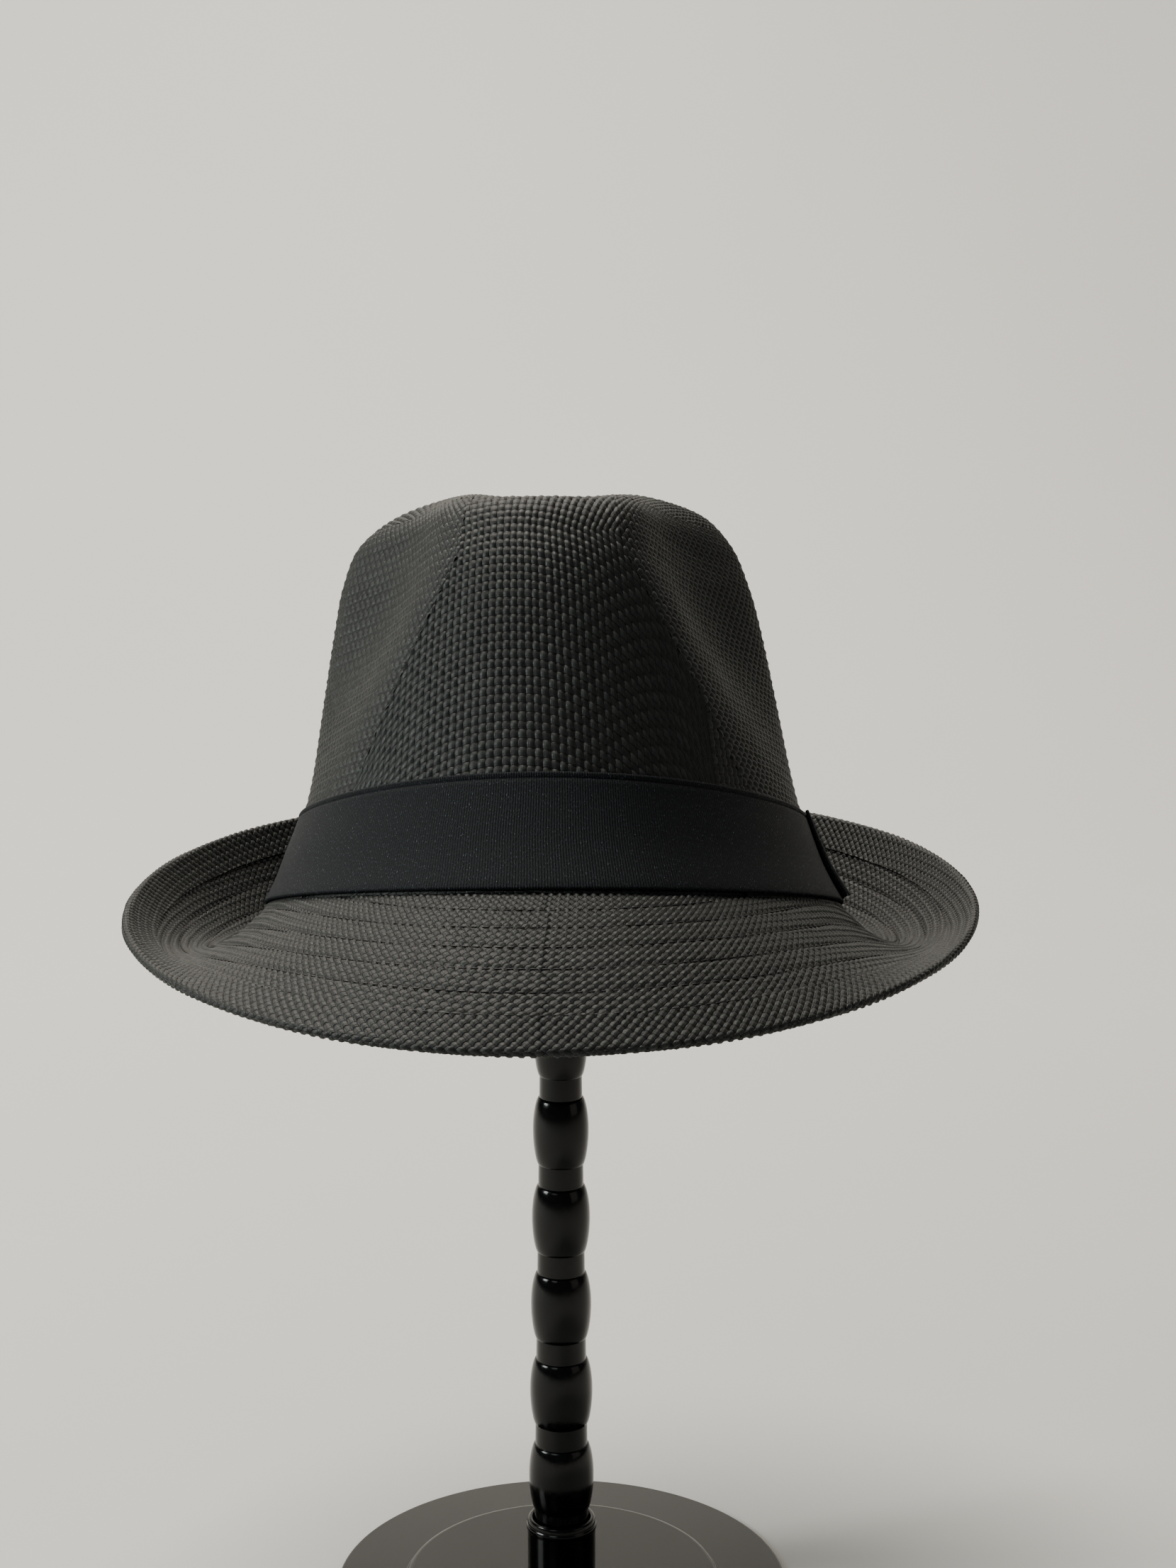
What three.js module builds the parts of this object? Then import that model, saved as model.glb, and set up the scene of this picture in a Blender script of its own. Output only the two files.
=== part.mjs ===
// A woven straw fedora on a turned stand, in millimetres, +Z up.
// The origin is the middle of the base's underside, and the hat's front looks along -Y.
// The hat is drawn upright in its own group, with its break plane (where crown meets brim) at
// height 0, and the group is then tipped back on the stand.

import * as THREE from 'three';

const DEGREE = Math.PI / 180;

// How the hat sits on the stand
const TIP_BACK = 15.5;
const BREAK_CENTRE = { x: -1.6, y: -7.0, z: 226.0 };

// Walls and the gap that neighbouring pieces keep
const STRAW = 1.6;
const BRIM_STRAW = 1.8;
const RIBBON = 1.0;
const GAP = 0.3;

// Crown: a row for each level, from the break up over the shoulder to the middle of the top
const CROWN_LEVELS = [
  { height: 0.0, halfWidth: 88.0, front: 106.0, back: 104.0, centre: 0.0 },
  { height: 7.0, halfWidth: 84.3, front: 102.3, back: 100.3, centre: -0.3 },
  { height: 15.0, halfWidth: 81.0, front: 98.6, back: 96.6, centre: -0.7 },
  { height: 31.0, halfWidth: 75.9, front: 93.6, back: 91.6, centre: -0.6 },
  { height: 60.0, halfWidth: 71.6, front: 88.0, back: 87.0, centre: -1.5 },
  { height: 88.0, halfWidth: 66.9, front: 82.5, back: 83.0, centre: -2.4 },
  { height: 102.0, halfWidth: 63.7, front: 77.5, back: 79.5, centre: -3.0 },
  { height: 113.9, halfWidth: 58.6, front: 68.9, back: 72.5, centre: -3.0 },
  { height: 123.2, halfWidth: 47.4, front: 47.4, back: 60.0, centre: -1.2 },
  { height: 126.7, halfWidth: 31.3, front: 38.8, back: 42.0, centre: -0.4 },
  { height: 126.7, halfWidth: 14.5, front: 19.0, back: 21.0, centre: -0.3 },
  { height: 126.7, halfWidth: 0.0, front: 0.0, back: 0.0, centre: 0.0 },
];
const BAND_LEVEL = 3;
const SHOULDER_LEVEL = 7;
const LAST_LEVEL = CROWN_LEVELS.length - 1;

// The two shallow pinches beside the front: each lies between a crest that leans outwards on its
// way down, and the side of the crown
const PINCH = { depth: 14.0, crest: 21, crestLean: 0.4, crestTop: 98, side: 94, foot: 22, full: 96 };
const PINCH_FADE_WIDTH = 62;
const PINCH_FADE_POWER = 3;
const PINCH_ROUNDNESS = 1.5;
const PINCH_INWARD = 0.8;
const PINCH_BACKWARD = 0.6;

// The tear-shaped crease in the top, narrow at the front and wide at the back
const CREASE = { depth: 24.0, front: -68.0, back: 48.0, narrow: 13.0, wide: 25.0 };
const CREASE_ROUNDNESS = 1.5;

// The break dips a little at the front and the back
const BREAK_DIP = 1.6;

// Brim: the edge's outline from above, its height above the break and the hollow of its section.
// Heights are a mean, a part that changes once around and a part that changes twice around
const BRIM_OUTLINE = { halfWidth: 128.8, front: 152.5, back: 137.0, centre: -1.0 };
const EDGE_HEIGHT = { mean: 4.6, once: -47.3, twice: -1.7, lean: 1.0 };
const BRIM_HOLLOW = { mean: 8.5, once: -8.0, twice: -5.0 };
const BRIM_MARGIN = 2.6;
const HEM_WIDTH = 12.0;
const HEM_STEP = 0.6;
const HEM_RELIEF = 0.35;

// Ribbon around the crown, and the bow on the wearer's left side
const BAND_TOP = { mean: 30.0, twice: 2.2 };
const BAND_FOOT = 0.7;
const RIBBON_ROWS = [7, 15, 23];
const BOW = { start: 80, knotStart: 96.3, knotEnd: 100.9, end: 118, foot: 1.6, top: 28.6 };
const BOW_STAND_OFF = { top: 1.1, foot: 3.0, knot: 1.2 };
const BOW_STEP = 4;
const KNOT_GAP = 0.2;
const KNOT_OVERHANG = 0.5;

// Turned column: beads and necks that repeat, both thinner towards the top
const COLUMN = { foot: 19.0, firstNeckFoot: 19.7, neckHeight: 6.9, pitch: 28.9, beads: 7 };
const NECK_RADIUS = { atFloor: 9.15, taper: 0.0142 };
const BEAD_RADIUS = { atFloor: 11.0, taper: 0.0139 };
const BEAD_SHAPE = { skew: 0.9, fullness: 0.6 };
const BEAD_STATIONS = [0.1, 0.3, 0.55, 0.75, 0.92];

// Domed cap that carries the hat from inside, its underside given by how far it lies below the rim
const REST = { radius: 28.0, domeHeight: 12.0, depth: 15.0, domeRings: 5 };
const REST_UNDERSIDE = [
  { radius: 12.6, drop: 15.0 },
  { radius: 16.8, drop: 6.0 },
  { radius: 26.6, drop: 4.2 },
];

// Socket: from its foot on the base up over two rounded lips, then down into the bore
const SOCKET_OUTLINE = [
  { radius: 11.0, height: 4.5 },
  { radius: 11.0, height: 19.3 },
  { radius: 11.4, height: 19.9 },
  { radius: 11.4, height: 20.9 },
  { radius: 11.0, height: 21.4 },
  { radius: 11.0, height: 21.9 },
  { radius: 10.7, height: 23.1 },
  { radius: 10.0, height: 23.5 },
  { radius: 9.35, height: 23.2 },
  { radius: 9.15, height: 22.5 },
  { radius: 9.15, height: 18.4 },
];

// Base: a thin plate with a round edge and a raised middle
const BASE_OUTLINE = [
  { radius: 72.4, height: 0.0 },
  { radius: 73.0, height: 1.0 },
  { radius: 72.4, height: 2.0 },
  { radius: 50.9, height: 2.0 },
  { radius: 50.5, height: 2.8 },
  { radius: 50.0, height: 3.8 },
  { radius: 48.7, height: 4.2 },
];

// Facets
const AROUND_HAT = 60;
const AROUND_COLUMN = 18;
const AROUND_SOCKET = 20;
const AROUND_BASE = 40;

const STRAW_FINISH = new THREE.MeshStandardMaterial({ color: 0x1b1d1c, roughness: 0.55, metalness: 0 });
const RIBBON_FINISH = new THREE.MeshStandardMaterial({ color: 0x101319, roughness: 0.7, metalness: 0 });
const LACQUER_FINISH = new THREE.MeshStandardMaterial({ color: 0x0b0c0c, roughness: 0.15, metalness: 0 });

const clamp = THREE.MathUtils.clamp;

// A closed solid through rings of points. A ring of one point is a pole. With no poles the last
// ring joins the first, as in a hoop.
function ringSolid(rings) {
  const positions = [];
  const starts = [];
  for (const ring of rings) {
    starts.push(positions.length / 3);
    for (const point of ring) {
      positions.push(point.x, point.y, point.z);
    }
  }
  const triangles = [];
  const hoop = rings[0].length > 1;
  const pairs = hoop ? rings.length : rings.length - 1;
  for (let pair = 0; pair < pairs; pair += 1) {
    const next = (pair + 1) % rings.length;
    const count = Math.max(rings[pair].length, rings[next].length);
    for (let step = 0; step < count; step += 1) {
      const after = (step + 1) % count;
      const a = starts[pair] + (step % rings[pair].length);
      const b = starts[pair] + (after % rings[pair].length);
      const c = starts[next] + (after % rings[next].length);
      const d = starts[next] + (step % rings[next].length);
      if (rings[pair].length > 1) {
        triangles.push(a, b, rings[next].length > 1 ? c : d);
      }
      if (rings[next].length > 1) {
        triangles.push(a, c, d);
      }
    }
  }
  return facingOut(positions, triangles);
}

// A closed slab between two grids of points, one lying over the other
function slabSolid(outer, inner) {
  const rows = outer.length;
  const columns = outer[0].length;
  const positions = [...outer.flat(), ...inner.flat()].flatMap((point) => point.toArray());
  const over = (row, column) => row * columns + column;
  const under = (row, column) => rows * columns + over(row, column);
  const triangles = [];
  const quad = (a, b, c, d) => triangles.push(a, b, c, a, c, d);
  const lastRow = rows - 1;
  const lastColumn = columns - 1;
  for (let row = 0; row < lastRow; row += 1) {
    for (let column = 0; column < lastColumn; column += 1) {
      const [nextRow, nextColumn] = [row + 1, column + 1];
      quad(over(row, column), over(row, nextColumn), over(nextRow, nextColumn), over(nextRow, column));
      quad(under(row, column), under(nextRow, column), under(nextRow, nextColumn), under(row, nextColumn));
    }
  }
  for (let row = 0; row < lastRow; row += 1) {
    const next = row + 1;
    quad(over(row, 0), over(next, 0), under(next, 0), under(row, 0));
    quad(over(row, lastColumn), under(row, lastColumn), under(next, lastColumn), over(next, lastColumn));
  }
  for (let column = 0; column < lastColumn; column += 1) {
    const next = column + 1;
    quad(over(0, column), under(0, column), under(0, next), over(0, next));
    quad(over(lastRow, column), over(lastRow, next), under(lastRow, next), under(lastRow, column));
  }
  return facingOut(positions, triangles);
}

function facingOut(positions, triangles) {
  if (signedVolume(positions, triangles) < 0) {
    triangles.reverse();
  }
  const geometry = new THREE.BufferGeometry();
  geometry.setAttribute('position', new THREE.Float32BufferAttribute(positions, 3));
  geometry.setIndex(triangles);
  geometry.computeVertexNormals();
  return geometry;
}

function signedVolume(positions, triangles) {
  const corner = (index) => new THREE.Vector3().fromArray(positions, 3 * index);
  let volume = 0;
  for (let at = 0; at < triangles.length; at += 3) {
    const [a, b, c] = [triangles[at], triangles[at + 1], triangles[at + 2]].map(corner);
    volume += a.dot(b.cross(c)) / 6;
  }
  return volume;
}

// A smooth curve through the rows of a table, read at a level that need not be whole
function readLevel(table, level) {
  const last = table.length - 1;
  const from = Math.min(Math.floor(level), last - 1);
  const part = level - from;
  const row = {};
  for (const column of Object.keys(table[0])) {
    const start = table[from][column];
    const end = table[from + 1][column];
    const before = from > 0 ? table[from - 1][column] : 2 * start - end;
    const after = from + 2 <= last ? table[from + 2][column] : end;
    row[column] = 0.5 * (2 * start + (end - before) * part
      + (2 * before - 5 * start + 4 * end - after) * part ** 2
      + (3 * start - before - 3 * end + after) * part ** 3);
  }
  return row;
}

// The level at which the crown's wall reaches a height
function levelAtHeight(height) {
  const halvings = 30;
  let low = 0;
  let high = SHOULDER_LEVEL;
  for (let halving = 0; halving < halvings; halving += 1) {
    const middle = (low + high) / 2;
    if (readLevel(CROWN_LEVELS, middle).height < height) {
      low = middle;
    } else {
      high = middle;
    }
  }
  return low;
}

function pinchDepth(angle, row) {
  const crest = PINCH.crest + PINCH.crestLean * Math.max(PINCH.crestTop - row.height, 0);
  const turn = Math.abs(Math.atan2(Math.sin(angle), Math.cos(angle))) / DEGREE;
  const across = clamp((turn - crest) / (PINCH.side - crest), 0, 1);
  const rise = THREE.MathUtils.smoothstep(row.height, PINCH.foot, PINCH.full);
  const fade = clamp(row.halfWidth / PINCH_FADE_WIDTH, 0, 1) ** PINCH_FADE_POWER;
  return PINCH.depth * Math.sin(Math.PI * across) ** PINCH_ROUNDNESS * rise * fade;
}

function creaseDepth(x, y, level) {
  if (level < SHOULDER_LEVEL) {
    return 0;
  }
  const along = (y - CREASE.front) / (CREASE.back - CREASE.front);
  const width = THREE.MathUtils.lerp(CREASE.narrow, CREASE.wide, clamp(along, 0, 1));
  const run = Math.max(1 - (2 * along - 1) ** 2, 0);
  return CREASE.depth * Math.exp(-((x / width) ** 2)) * run ** CREASE_ROUNDNESS;
}

function breakDip(angle, height) {
  const fade = clamp(1 - height / CROWN_LEVELS[BAND_LEVEL].height, 0, 1);
  return BREAK_DIP * Math.cos(angle) ** 2 * fade;
}

// The crown's outer surface. The angle is 0 at the front and grows towards +X.
function crownPoint(angle, level) {
  const row = readLevel(CROWN_LEVELS, level);
  const reach = Math.cos(angle) > 0 ? row.front : row.back;
  const pinch = pinchDepth(angle, row);
  const x = row.halfWidth * Math.sin(angle) - Math.sign(Math.sin(angle)) * pinch * PINCH_INWARD;
  const y = -reach * Math.cos(angle) + pinch * PINCH_BACKWARD;
  const z = row.height - creaseDepth(x, y, level) - breakDip(angle, row.height);
  return new THREE.Vector3(row.centre + x, y, z);
}

function outward(surface, angle, level) {
  const step = 0.02;
  const around = surface(angle + step, level).sub(surface(angle - step, level));
  const up = surface(angle, level + step).sub(surface(angle, Math.max(level - step, 0)));
  return around.cross(up).normalize();
}

function crownOffset(angle, level, distance) {
  return crownPoint(angle, level).addScaledVector(outward(crownPoint, angle, level), distance);
}

function hatRing(pointAt) {
  const ring = [];
  for (let step = 0; step < AROUND_HAT; step += 1) {
    ring.push(pointAt((2 * Math.PI * step) / AROUND_HAT));
  }
  return ring;
}

function crownLevels() {
  const levels = [GAP, ...RIBBON_ROWS, CROWN_LEVELS[BAND_LEVEL].height].map(levelAtHeight);
  for (let half = 2 * BAND_LEVEL + 1; half < 2 * LAST_LEVEL; half += 1) {
    levels.push(half / 2);
  }
  return levels;
}

function crownSolid() {
  const levels = crownLevels();
  const outer = levels.map((level) => hatRing((angle) => crownPoint(angle, level)));
  const inner = levels.map((level) => hatRing((angle) => crownOffset(angle, level, -STRAW)));
  inner[0].forEach((point, index) => {
    point.z = outer[0][index].z;
  });
  const pole = crownPoint(0, LAST_LEVEL);
  const innerPole = pole.clone().setZ(pole.z - STRAW);
  return ringSolid([[pole], ...outer.reverse(), ...inner, [innerPole]]);
}

// Brim
function roundTheEdge(angle, heights) {
  return heights.mean + heights.once * Math.cos(angle) + heights.twice * Math.cos(2 * angle);
}

function brimEdge(angle) {
  const reach = Math.cos(angle) > 0 ? BRIM_OUTLINE.front : BRIM_OUTLINE.back;
  const x = BRIM_OUTLINE.centre + BRIM_OUTLINE.halfWidth * Math.sin(angle);
  const height = roundTheEdge(angle, EDGE_HEIGHT) + EDGE_HEIGHT.lean * Math.sin(angle);
  return new THREE.Vector3(x, -reach * Math.cos(angle), height);
}

// The brim's top surface, from the break at 0 to the edge at 1
function brimPoint(angle, share) {
  const point = crownPoint(angle, 0).lerp(brimEdge(angle), share);
  point.z -= 4 * share * (1 - share) * roundTheEdge(angle, BRIM_HOLLOW);
  return point;
}

// The share at which the brim is a given distance from its edge, measured over its surface
function shareFromEdge(angle, distance) {
  const steps = 80;
  let left = distance;
  let last = brimPoint(angle, 1);
  for (let step = steps - 1; step >= 0; step -= 1) {
    const point = brimPoint(angle, step / steps);
    const length = point.distanceTo(last);
    if (length >= left) {
      return (step + 1 - left / length) / steps;
    }
    left -= length;
    last = point;
  }
  return 0;
}

function brimUp(angle, share) {
  const step = 0.01;
  const around = brimPoint(angle + step, share).sub(brimPoint(angle - step, share));
  const out = brimPoint(angle, Math.min(share + step, 1)).sub(brimPoint(angle, Math.max(share - step, 0)));
  return out.cross(around).normalize();
}

// One ring of the brim's top and the ring under it
function brimPair(shareAt, relief) {
  const surface = (angle, distance) => {
    const share = shareAt(angle);
    return brimPoint(angle, share).addScaledVector(brimUp(angle, share), distance);
  };
  return [
    hatRing((angle) => surface(angle, relief)),
    hatRing((angle) => surface(angle, -BRIM_STRAW - relief)),
  ];
}

function brimSolid() {
  const crownFoot = (angle) => crownPoint(angle, 0);
  const inward = (angle) => {
    const direction = outward(crownPoint, angle, 0).setZ(0).normalize();
    return crownFoot(angle).addScaledVector(direction, -BRIM_MARGIN);
  };
  const lower = (point) => point.setZ(point.z - BRIM_STRAW);
  const pairs = [
    [hatRing(inward), hatRing((angle) => lower(inward(angle)))],
    [hatRing(crownFoot), hatRing((angle) => lower(crownFoot(angle)))],
  ];
  const bodyRows = 5;
  for (let row = 1; row <= bodyRows; row += 1) {
    const share = row / bodyRows;
    pairs.push(brimPair((angle) => share * shareFromEdge(angle, HEM_WIDTH), 0));
  }
  for (const distance of [HEM_WIDTH - HEM_STEP, HEM_WIDTH / 2, 0]) {
    pairs.push(brimPair((angle) => shareFromEdge(angle, distance), HEM_RELIEF));
  }
  const top = pairs.map((pair) => pair[0]);
  const under = pairs.map((pair) => pair[1]).reverse();
  return ringSolid([...top, ...under]);
}

// Hatband
function bandTop(angle) {
  return BAND_TOP.mean + BAND_TOP.twice * Math.cos(2 * angle);
}

function bandSolid() {
  const rows = [() => BAND_FOOT, ...RIBBON_ROWS.map((height) => () => height), bandTop];
  const ring = (height, distance) => hatRing((angle) => (
    crownOffset(angle, levelAtHeight(height(angle)), distance)));
  const outer = rows.map((height) => ring(height, GAP + RIBBON));
  const inner = rows.map((height) => ring(height, GAP));
  return ringSolid([...outer, ...inner.reverse()]);
}

// A piece of the bow between two angles, which lies on the band
function bowSolid(startAngle, endAngle, extraThickness, extraHeight) {
  const under = 2 * GAP + RIBBON;
  const steps = Math.max(Math.round((endAngle - startAngle) / BOW_STEP), 1);
  const heights = [BOW.foot - extraHeight, ...RIBBON_ROWS, BOW.top + extraHeight];
  const outer = [];
  const inner = [];
  for (let step = 0; step <= steps; step += 1) {
    const angle = THREE.MathUtils.lerp(startAngle, endAngle, step / steps) * DEGREE;
    outer.push(heights.map((height) => {
      const rise = THREE.MathUtils.lerp(BOW_STAND_OFF.foot, BOW_STAND_OFF.top, height / BOW.top);
      return crownOffset(angle, levelAtHeight(height), under + rise + extraThickness);
    }));
    inner.push(heights.map((height) => crownOffset(angle, levelAtHeight(height), under)));
  }
  return slabSolid(outer, inner);
}

// Stand: a solid turned about Z, whose outline runs from one end to the other
function lathe(outline, sides) {
  const points = outline.map(({ radius, height }) => new THREE.Vector2(radius, height));
  points.unshift(new THREE.Vector2(0, points[0].y));
  if (points[points.length - 1].x > 0) {
    points.push(new THREE.Vector2(0, points[points.length - 1].y));
  }
  const geometry = new THREE.LatheGeometry(points, sides);
  geometry.rotateX(Math.PI / 2);
  return geometry;
}

function columnOutline(topHeight) {
  const neck = (height) => NECK_RADIUS.atFloor - NECK_RADIUS.taper * height;
  const bead = (height) => BEAD_RADIUS.atFloor - BEAD_RADIUS.taper * height;
  const outline = [{ radius: neck(COLUMN.foot), height: COLUMN.foot }];
  const beadHeight = COLUMN.pitch - COLUMN.neckHeight;
  for (let index = 0; index < COLUMN.beads; index += 1) {
    const beadFoot = COLUMN.firstNeckFoot + COLUMN.neckHeight + index * COLUMN.pitch;
    outline.push({ radius: neck(beadFoot), height: beadFoot });
    for (const station of BEAD_STATIONS) {
      const height = beadFoot + beadHeight * station;
      const swell = Math.sin(Math.PI * (1 - station) ** BEAD_SHAPE.skew) ** BEAD_SHAPE.fullness;
      outline.push({ radius: neck(height) + (bead(height) - neck(height)) * swell, height });
    }
    outline.push({ radius: neck(beadFoot + beadHeight), height: beadFoot + beadHeight });
  }
  outline.push({ radius: neck(topHeight), height: topHeight });
  return outline;
}

function restDomeHeight(radius) {
  return REST.domeHeight * (1 - (radius / REST.radius) ** 2);
}

// The height at which the dome's rim may stand, with the crown a gap above the dome
function restRimHeight(crown) {
  const point = new THREE.Vector3();
  const positions = crown.geometry.getAttribute('position');
  let rim = Infinity;
  for (let index = 0; index < positions.count; index += 1) {
    point.fromBufferAttribute(positions, index).applyMatrix4(crown.matrixWorld);
    const radius = Math.hypot(point.x, point.y);
    if (radius < REST.radius) {
      rim = Math.min(rim, point.z - restDomeHeight(radius));
    }
  }
  return rim - GAP;
}

function restOutline(rim) {
  const outline = REST_UNDERSIDE.map(({ radius, drop }) => ({ radius, height: rim - drop }));
  for (let ring = REST.domeRings; ring > 0; ring -= 1) {
    const radius = (REST.radius * ring) / REST.domeRings;
    outline.push({ radius, height: rim + restDomeHeight(radius) });
  }
  outline.push({ radius: 0, height: rim + restDomeHeight(0) });
  return outline;
}

function piece(name, geometry, material) {
  const mesh = new THREE.Mesh(geometry, material);
  mesh.name = name;
  return mesh;
}

const hat = new THREE.Group();
hat.position.set(BREAK_CENTRE.x, BREAK_CENTRE.y, BREAK_CENTRE.z);
hat.rotation.x = -TIP_BACK * DEGREE;

const crown = piece('crown', crownSolid(), STRAW_FINISH);
hat.add(crown);
hat.add(piece('brim', brimSolid(), STRAW_FINISH));
hat.add(piece('hatband', bandSolid(), RIBBON_FINISH));
const frontLoop = bowSolid(BOW.start, BOW.knotStart - KNOT_GAP, 0, 0);
const knot = bowSolid(BOW.knotStart, BOW.knotEnd, BOW_STAND_OFF.knot, KNOT_OVERHANG);
const backLoop = bowSolid(BOW.knotEnd + KNOT_GAP, BOW.end, 0, 0);
hat.add(piece('bow_front_loop', frontLoop, RIBBON_FINISH));
hat.add(piece('bow_knot', knot, RIBBON_FINISH));
hat.add(piece('bow_back_loop', backLoop, RIBBON_FINISH));
hat.updateMatrixWorld(true);

const restRim = restRimHeight(crown);
const columnTop = restRim - REST.depth - GAP;

const stand = new THREE.Group();
stand.add(piece('hat_rest', lathe(restOutline(restRim), AROUND_SOCKET), LACQUER_FINISH));
stand.add(piece('column', lathe(columnOutline(columnTop), AROUND_COLUMN), LACQUER_FINISH));
stand.add(piece('socket', lathe(SOCKET_OUTLINE, AROUND_SOCKET), LACQUER_FINISH));
stand.add(piece('base', lathe(BASE_OUTLINE, AROUND_BASE), LACQUER_FINISH));

const hatOnStand = new THREE.Group();
hatOnStand.add(hat, stand);

export default hatOnStand;
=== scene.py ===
# A black woven straw fedora on a turned hat stand.
# Lengths are metres, written as millimetres times MM, and angles are radians.

import math

import bmesh
import bpy
import numpy as np
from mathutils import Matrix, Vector
from mathutils.kdtree import KDTree


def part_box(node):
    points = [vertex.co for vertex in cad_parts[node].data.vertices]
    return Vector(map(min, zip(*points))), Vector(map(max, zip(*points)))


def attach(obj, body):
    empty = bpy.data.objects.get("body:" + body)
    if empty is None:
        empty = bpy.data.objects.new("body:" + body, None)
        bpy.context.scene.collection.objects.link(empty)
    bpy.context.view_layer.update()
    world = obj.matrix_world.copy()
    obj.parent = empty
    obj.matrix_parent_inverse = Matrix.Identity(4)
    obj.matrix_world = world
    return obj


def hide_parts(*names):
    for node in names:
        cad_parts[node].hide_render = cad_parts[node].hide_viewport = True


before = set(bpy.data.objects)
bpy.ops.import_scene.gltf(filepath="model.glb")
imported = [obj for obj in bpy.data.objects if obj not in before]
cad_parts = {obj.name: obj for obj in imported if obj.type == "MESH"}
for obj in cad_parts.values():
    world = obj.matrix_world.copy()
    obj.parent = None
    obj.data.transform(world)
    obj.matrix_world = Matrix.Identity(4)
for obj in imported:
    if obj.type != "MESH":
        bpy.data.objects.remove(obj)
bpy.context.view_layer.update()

MM = 0.001
DEGREE = math.pi / 180

# Camera: where it stands, how far it looks down, its lens and the width of its sensor in
# millimetres, and the nearest and farthest that it sees
EYE = Vector((8.6, -771.0, 393.0)) * MM
LOOKS_DOWN = 9.5 * DEGREE
LENS = 58.1
SENSOR = 36
SEES = (20 * MM, 60)

camera = bpy.data.objects.new("camera", bpy.data.cameras.new("camera"))
bpy.context.scene.collection.objects.link(camera)
camera.data.lens = LENS
camera.data.sensor_width = SENSOR
camera.data.clip_start, camera.data.clip_end = SEES
camera.location = EYE
camera.rotation_euler = (math.pi / 2 - LOOKS_DOWN, 0, 0)
bpy.context.scene.camera = camera

# How the hat sits on the stand
TIP_BACK = 15.5 * DEGREE
BREAK_CENTRE = np.array([-1.6, -7.0, 226.0]) * MM

# Walls, and the gap that neighbouring pieces keep
STRAW = 1.6 * MM
GAP = 0.3 * MM

# Crown: a row for each level, from the break up over the shoulder to the middle of the top.
# The columns are height, half width, front, back and how far the middle lies off to the side.
CROWN_LEVELS = MM * np.array([
    (0.0, 88.0, 106.0, 104.0, 0.0),
    (7.0, 84.3, 102.3, 100.3, -0.3),
    (15.0, 81.0, 98.6, 96.6, -0.7),
    (31.0, 75.9, 93.6, 91.6, -0.6),
    (60.0, 71.6, 88.0, 87.0, -1.5),
    (88.0, 66.9, 82.5, 83.0, -2.4),
    (102.0, 63.7, 77.5, 79.5, -3.0),
    (113.9, 58.6, 68.9, 72.5, -3.0),
    (123.2, 47.4, 47.4, 60.0, -1.2),
    (126.7, 31.3, 38.8, 42.0, -0.4),
    (126.7, 14.5, 19.0, 21.0, -0.3),
    (126.7, 0.0, 0.0, 0.0, 0.0),
])
SHOULDER_LEVEL = 7
LAST_LEVEL = len(CROWN_LEVELS) - 1

# The two pinches beside the front. Angles are in degrees here, and the lean is degrees for each
# millimetre of height.
PINCH = {"depth": 14.0 * MM, "crest": 21, "lean": 0.4, "top": 98 * MM, "side": 94,
         "foot": 22 * MM, "full": 96 * MM, "fade": 62 * MM, "inward": 0.8, "backward": 0.6,
         "narrowing": 1.5}

# The crease in the top, narrow at the front and wide at the back, and the dip of the break at
# the front and back, which is gone at a height up the wall
CREASE = {"depth": 24 * MM, "front": -68 * MM, "back": 48 * MM, "narrow": 13 * MM, "wide": 25 * MM,
          "tapering": 1.5}
BREAK_DIP = {"depth": 1.6 * MM, "gone_at": 31 * MM}

# Brim: its outline from above, the height of its edge and the hollow of its section, each height
# a mean, a part that changes once around and a part that changes twice around
BRIM_OUTLINE = {"half_width": 128.8 * MM, "front": 152.5 * MM, "back": 137.0 * MM,
                "centre": -1.0 * MM}
EDGE_HEIGHT = {"mean": 4.6 * MM, "once": -47.3 * MM, "twice": -1.7 * MM, "lean": 1.0 * MM}
BRIM_HOLLOW = {"mean": 8.5 * MM, "once": -8.0 * MM, "twice": -5.0 * MM}
BRIM_STRAW = 1.5 * MM
BRIM_MARGIN = 2.4 * MM
HEM_WIDTH = 12.0 * MM
HEM_LIFT = 0.55 * MM
HEM_STRAW = 0.8 * MM
BRIM_CLOTH = {"starts": 0.4 * HEM_WIDTH, "ends": 80 * MM, "fine_from": 0.85 * HEM_WIDTH}
NORMAL_STEP = 0.5 * MM

# Sewn rows, in millimetres from the brim's edge
ROWS = {"first": 20.5, "apart": 8.5, "count": 5}
SEWN_ROWS = [(ROWS["first"] + ROWS["apart"] * row) * MM for row in range(ROWS["count"])]

# The weave: strands a little over 2 mm apart. One cloth covers the crown's top, front and back and
# is square to the hat a little left of its front. Behind the pinches' crests the strands of the
# sides are turned, and the brim's are turned against its edge.
CROWN_STRANDS = {"across": 2.1 * MM, "along": 2.55 * MM}
GRAIN_TURN = -8 * DEGREE
SIDE_STRANDS = {"across": 2.5 * MM, "along": 2.1 * MM}
SIDE_TURN = 43 * DEGREE
SIDE_TOP = 6 * MM
SIDE_RADIUS = 75 * MM
COUNT_HEIGHT = 75 * MM
SHOULDER_BLEND = 12 * MM
CALM = 5 * MM
BACK_CALM = 8 * MM
BRIM_STRANDS = {"around": 276, "aside": 248}
HEM_STRANDS = {"around": 306, "aside": 274}
CROWN_WEAVE = ({"rise": 0.42 * MM, "round": 0.62 * MM, "half": 0.42},
               {"rise": 0.22 * MM, "round": 0.56 * MM, "half": 0.42})
BRIM_WEAVE = ({"rise": 0.48 * MM, "round": 0.62 * MM, "half": 0.44},
              {"rise": 0.14 * MM, "round": 0.56 * MM, "half": 0.38})
PEAK_DROP = 0.12 * MM
CROWN_SPLIT = 4
BRIM_SPLIT = 3
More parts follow.
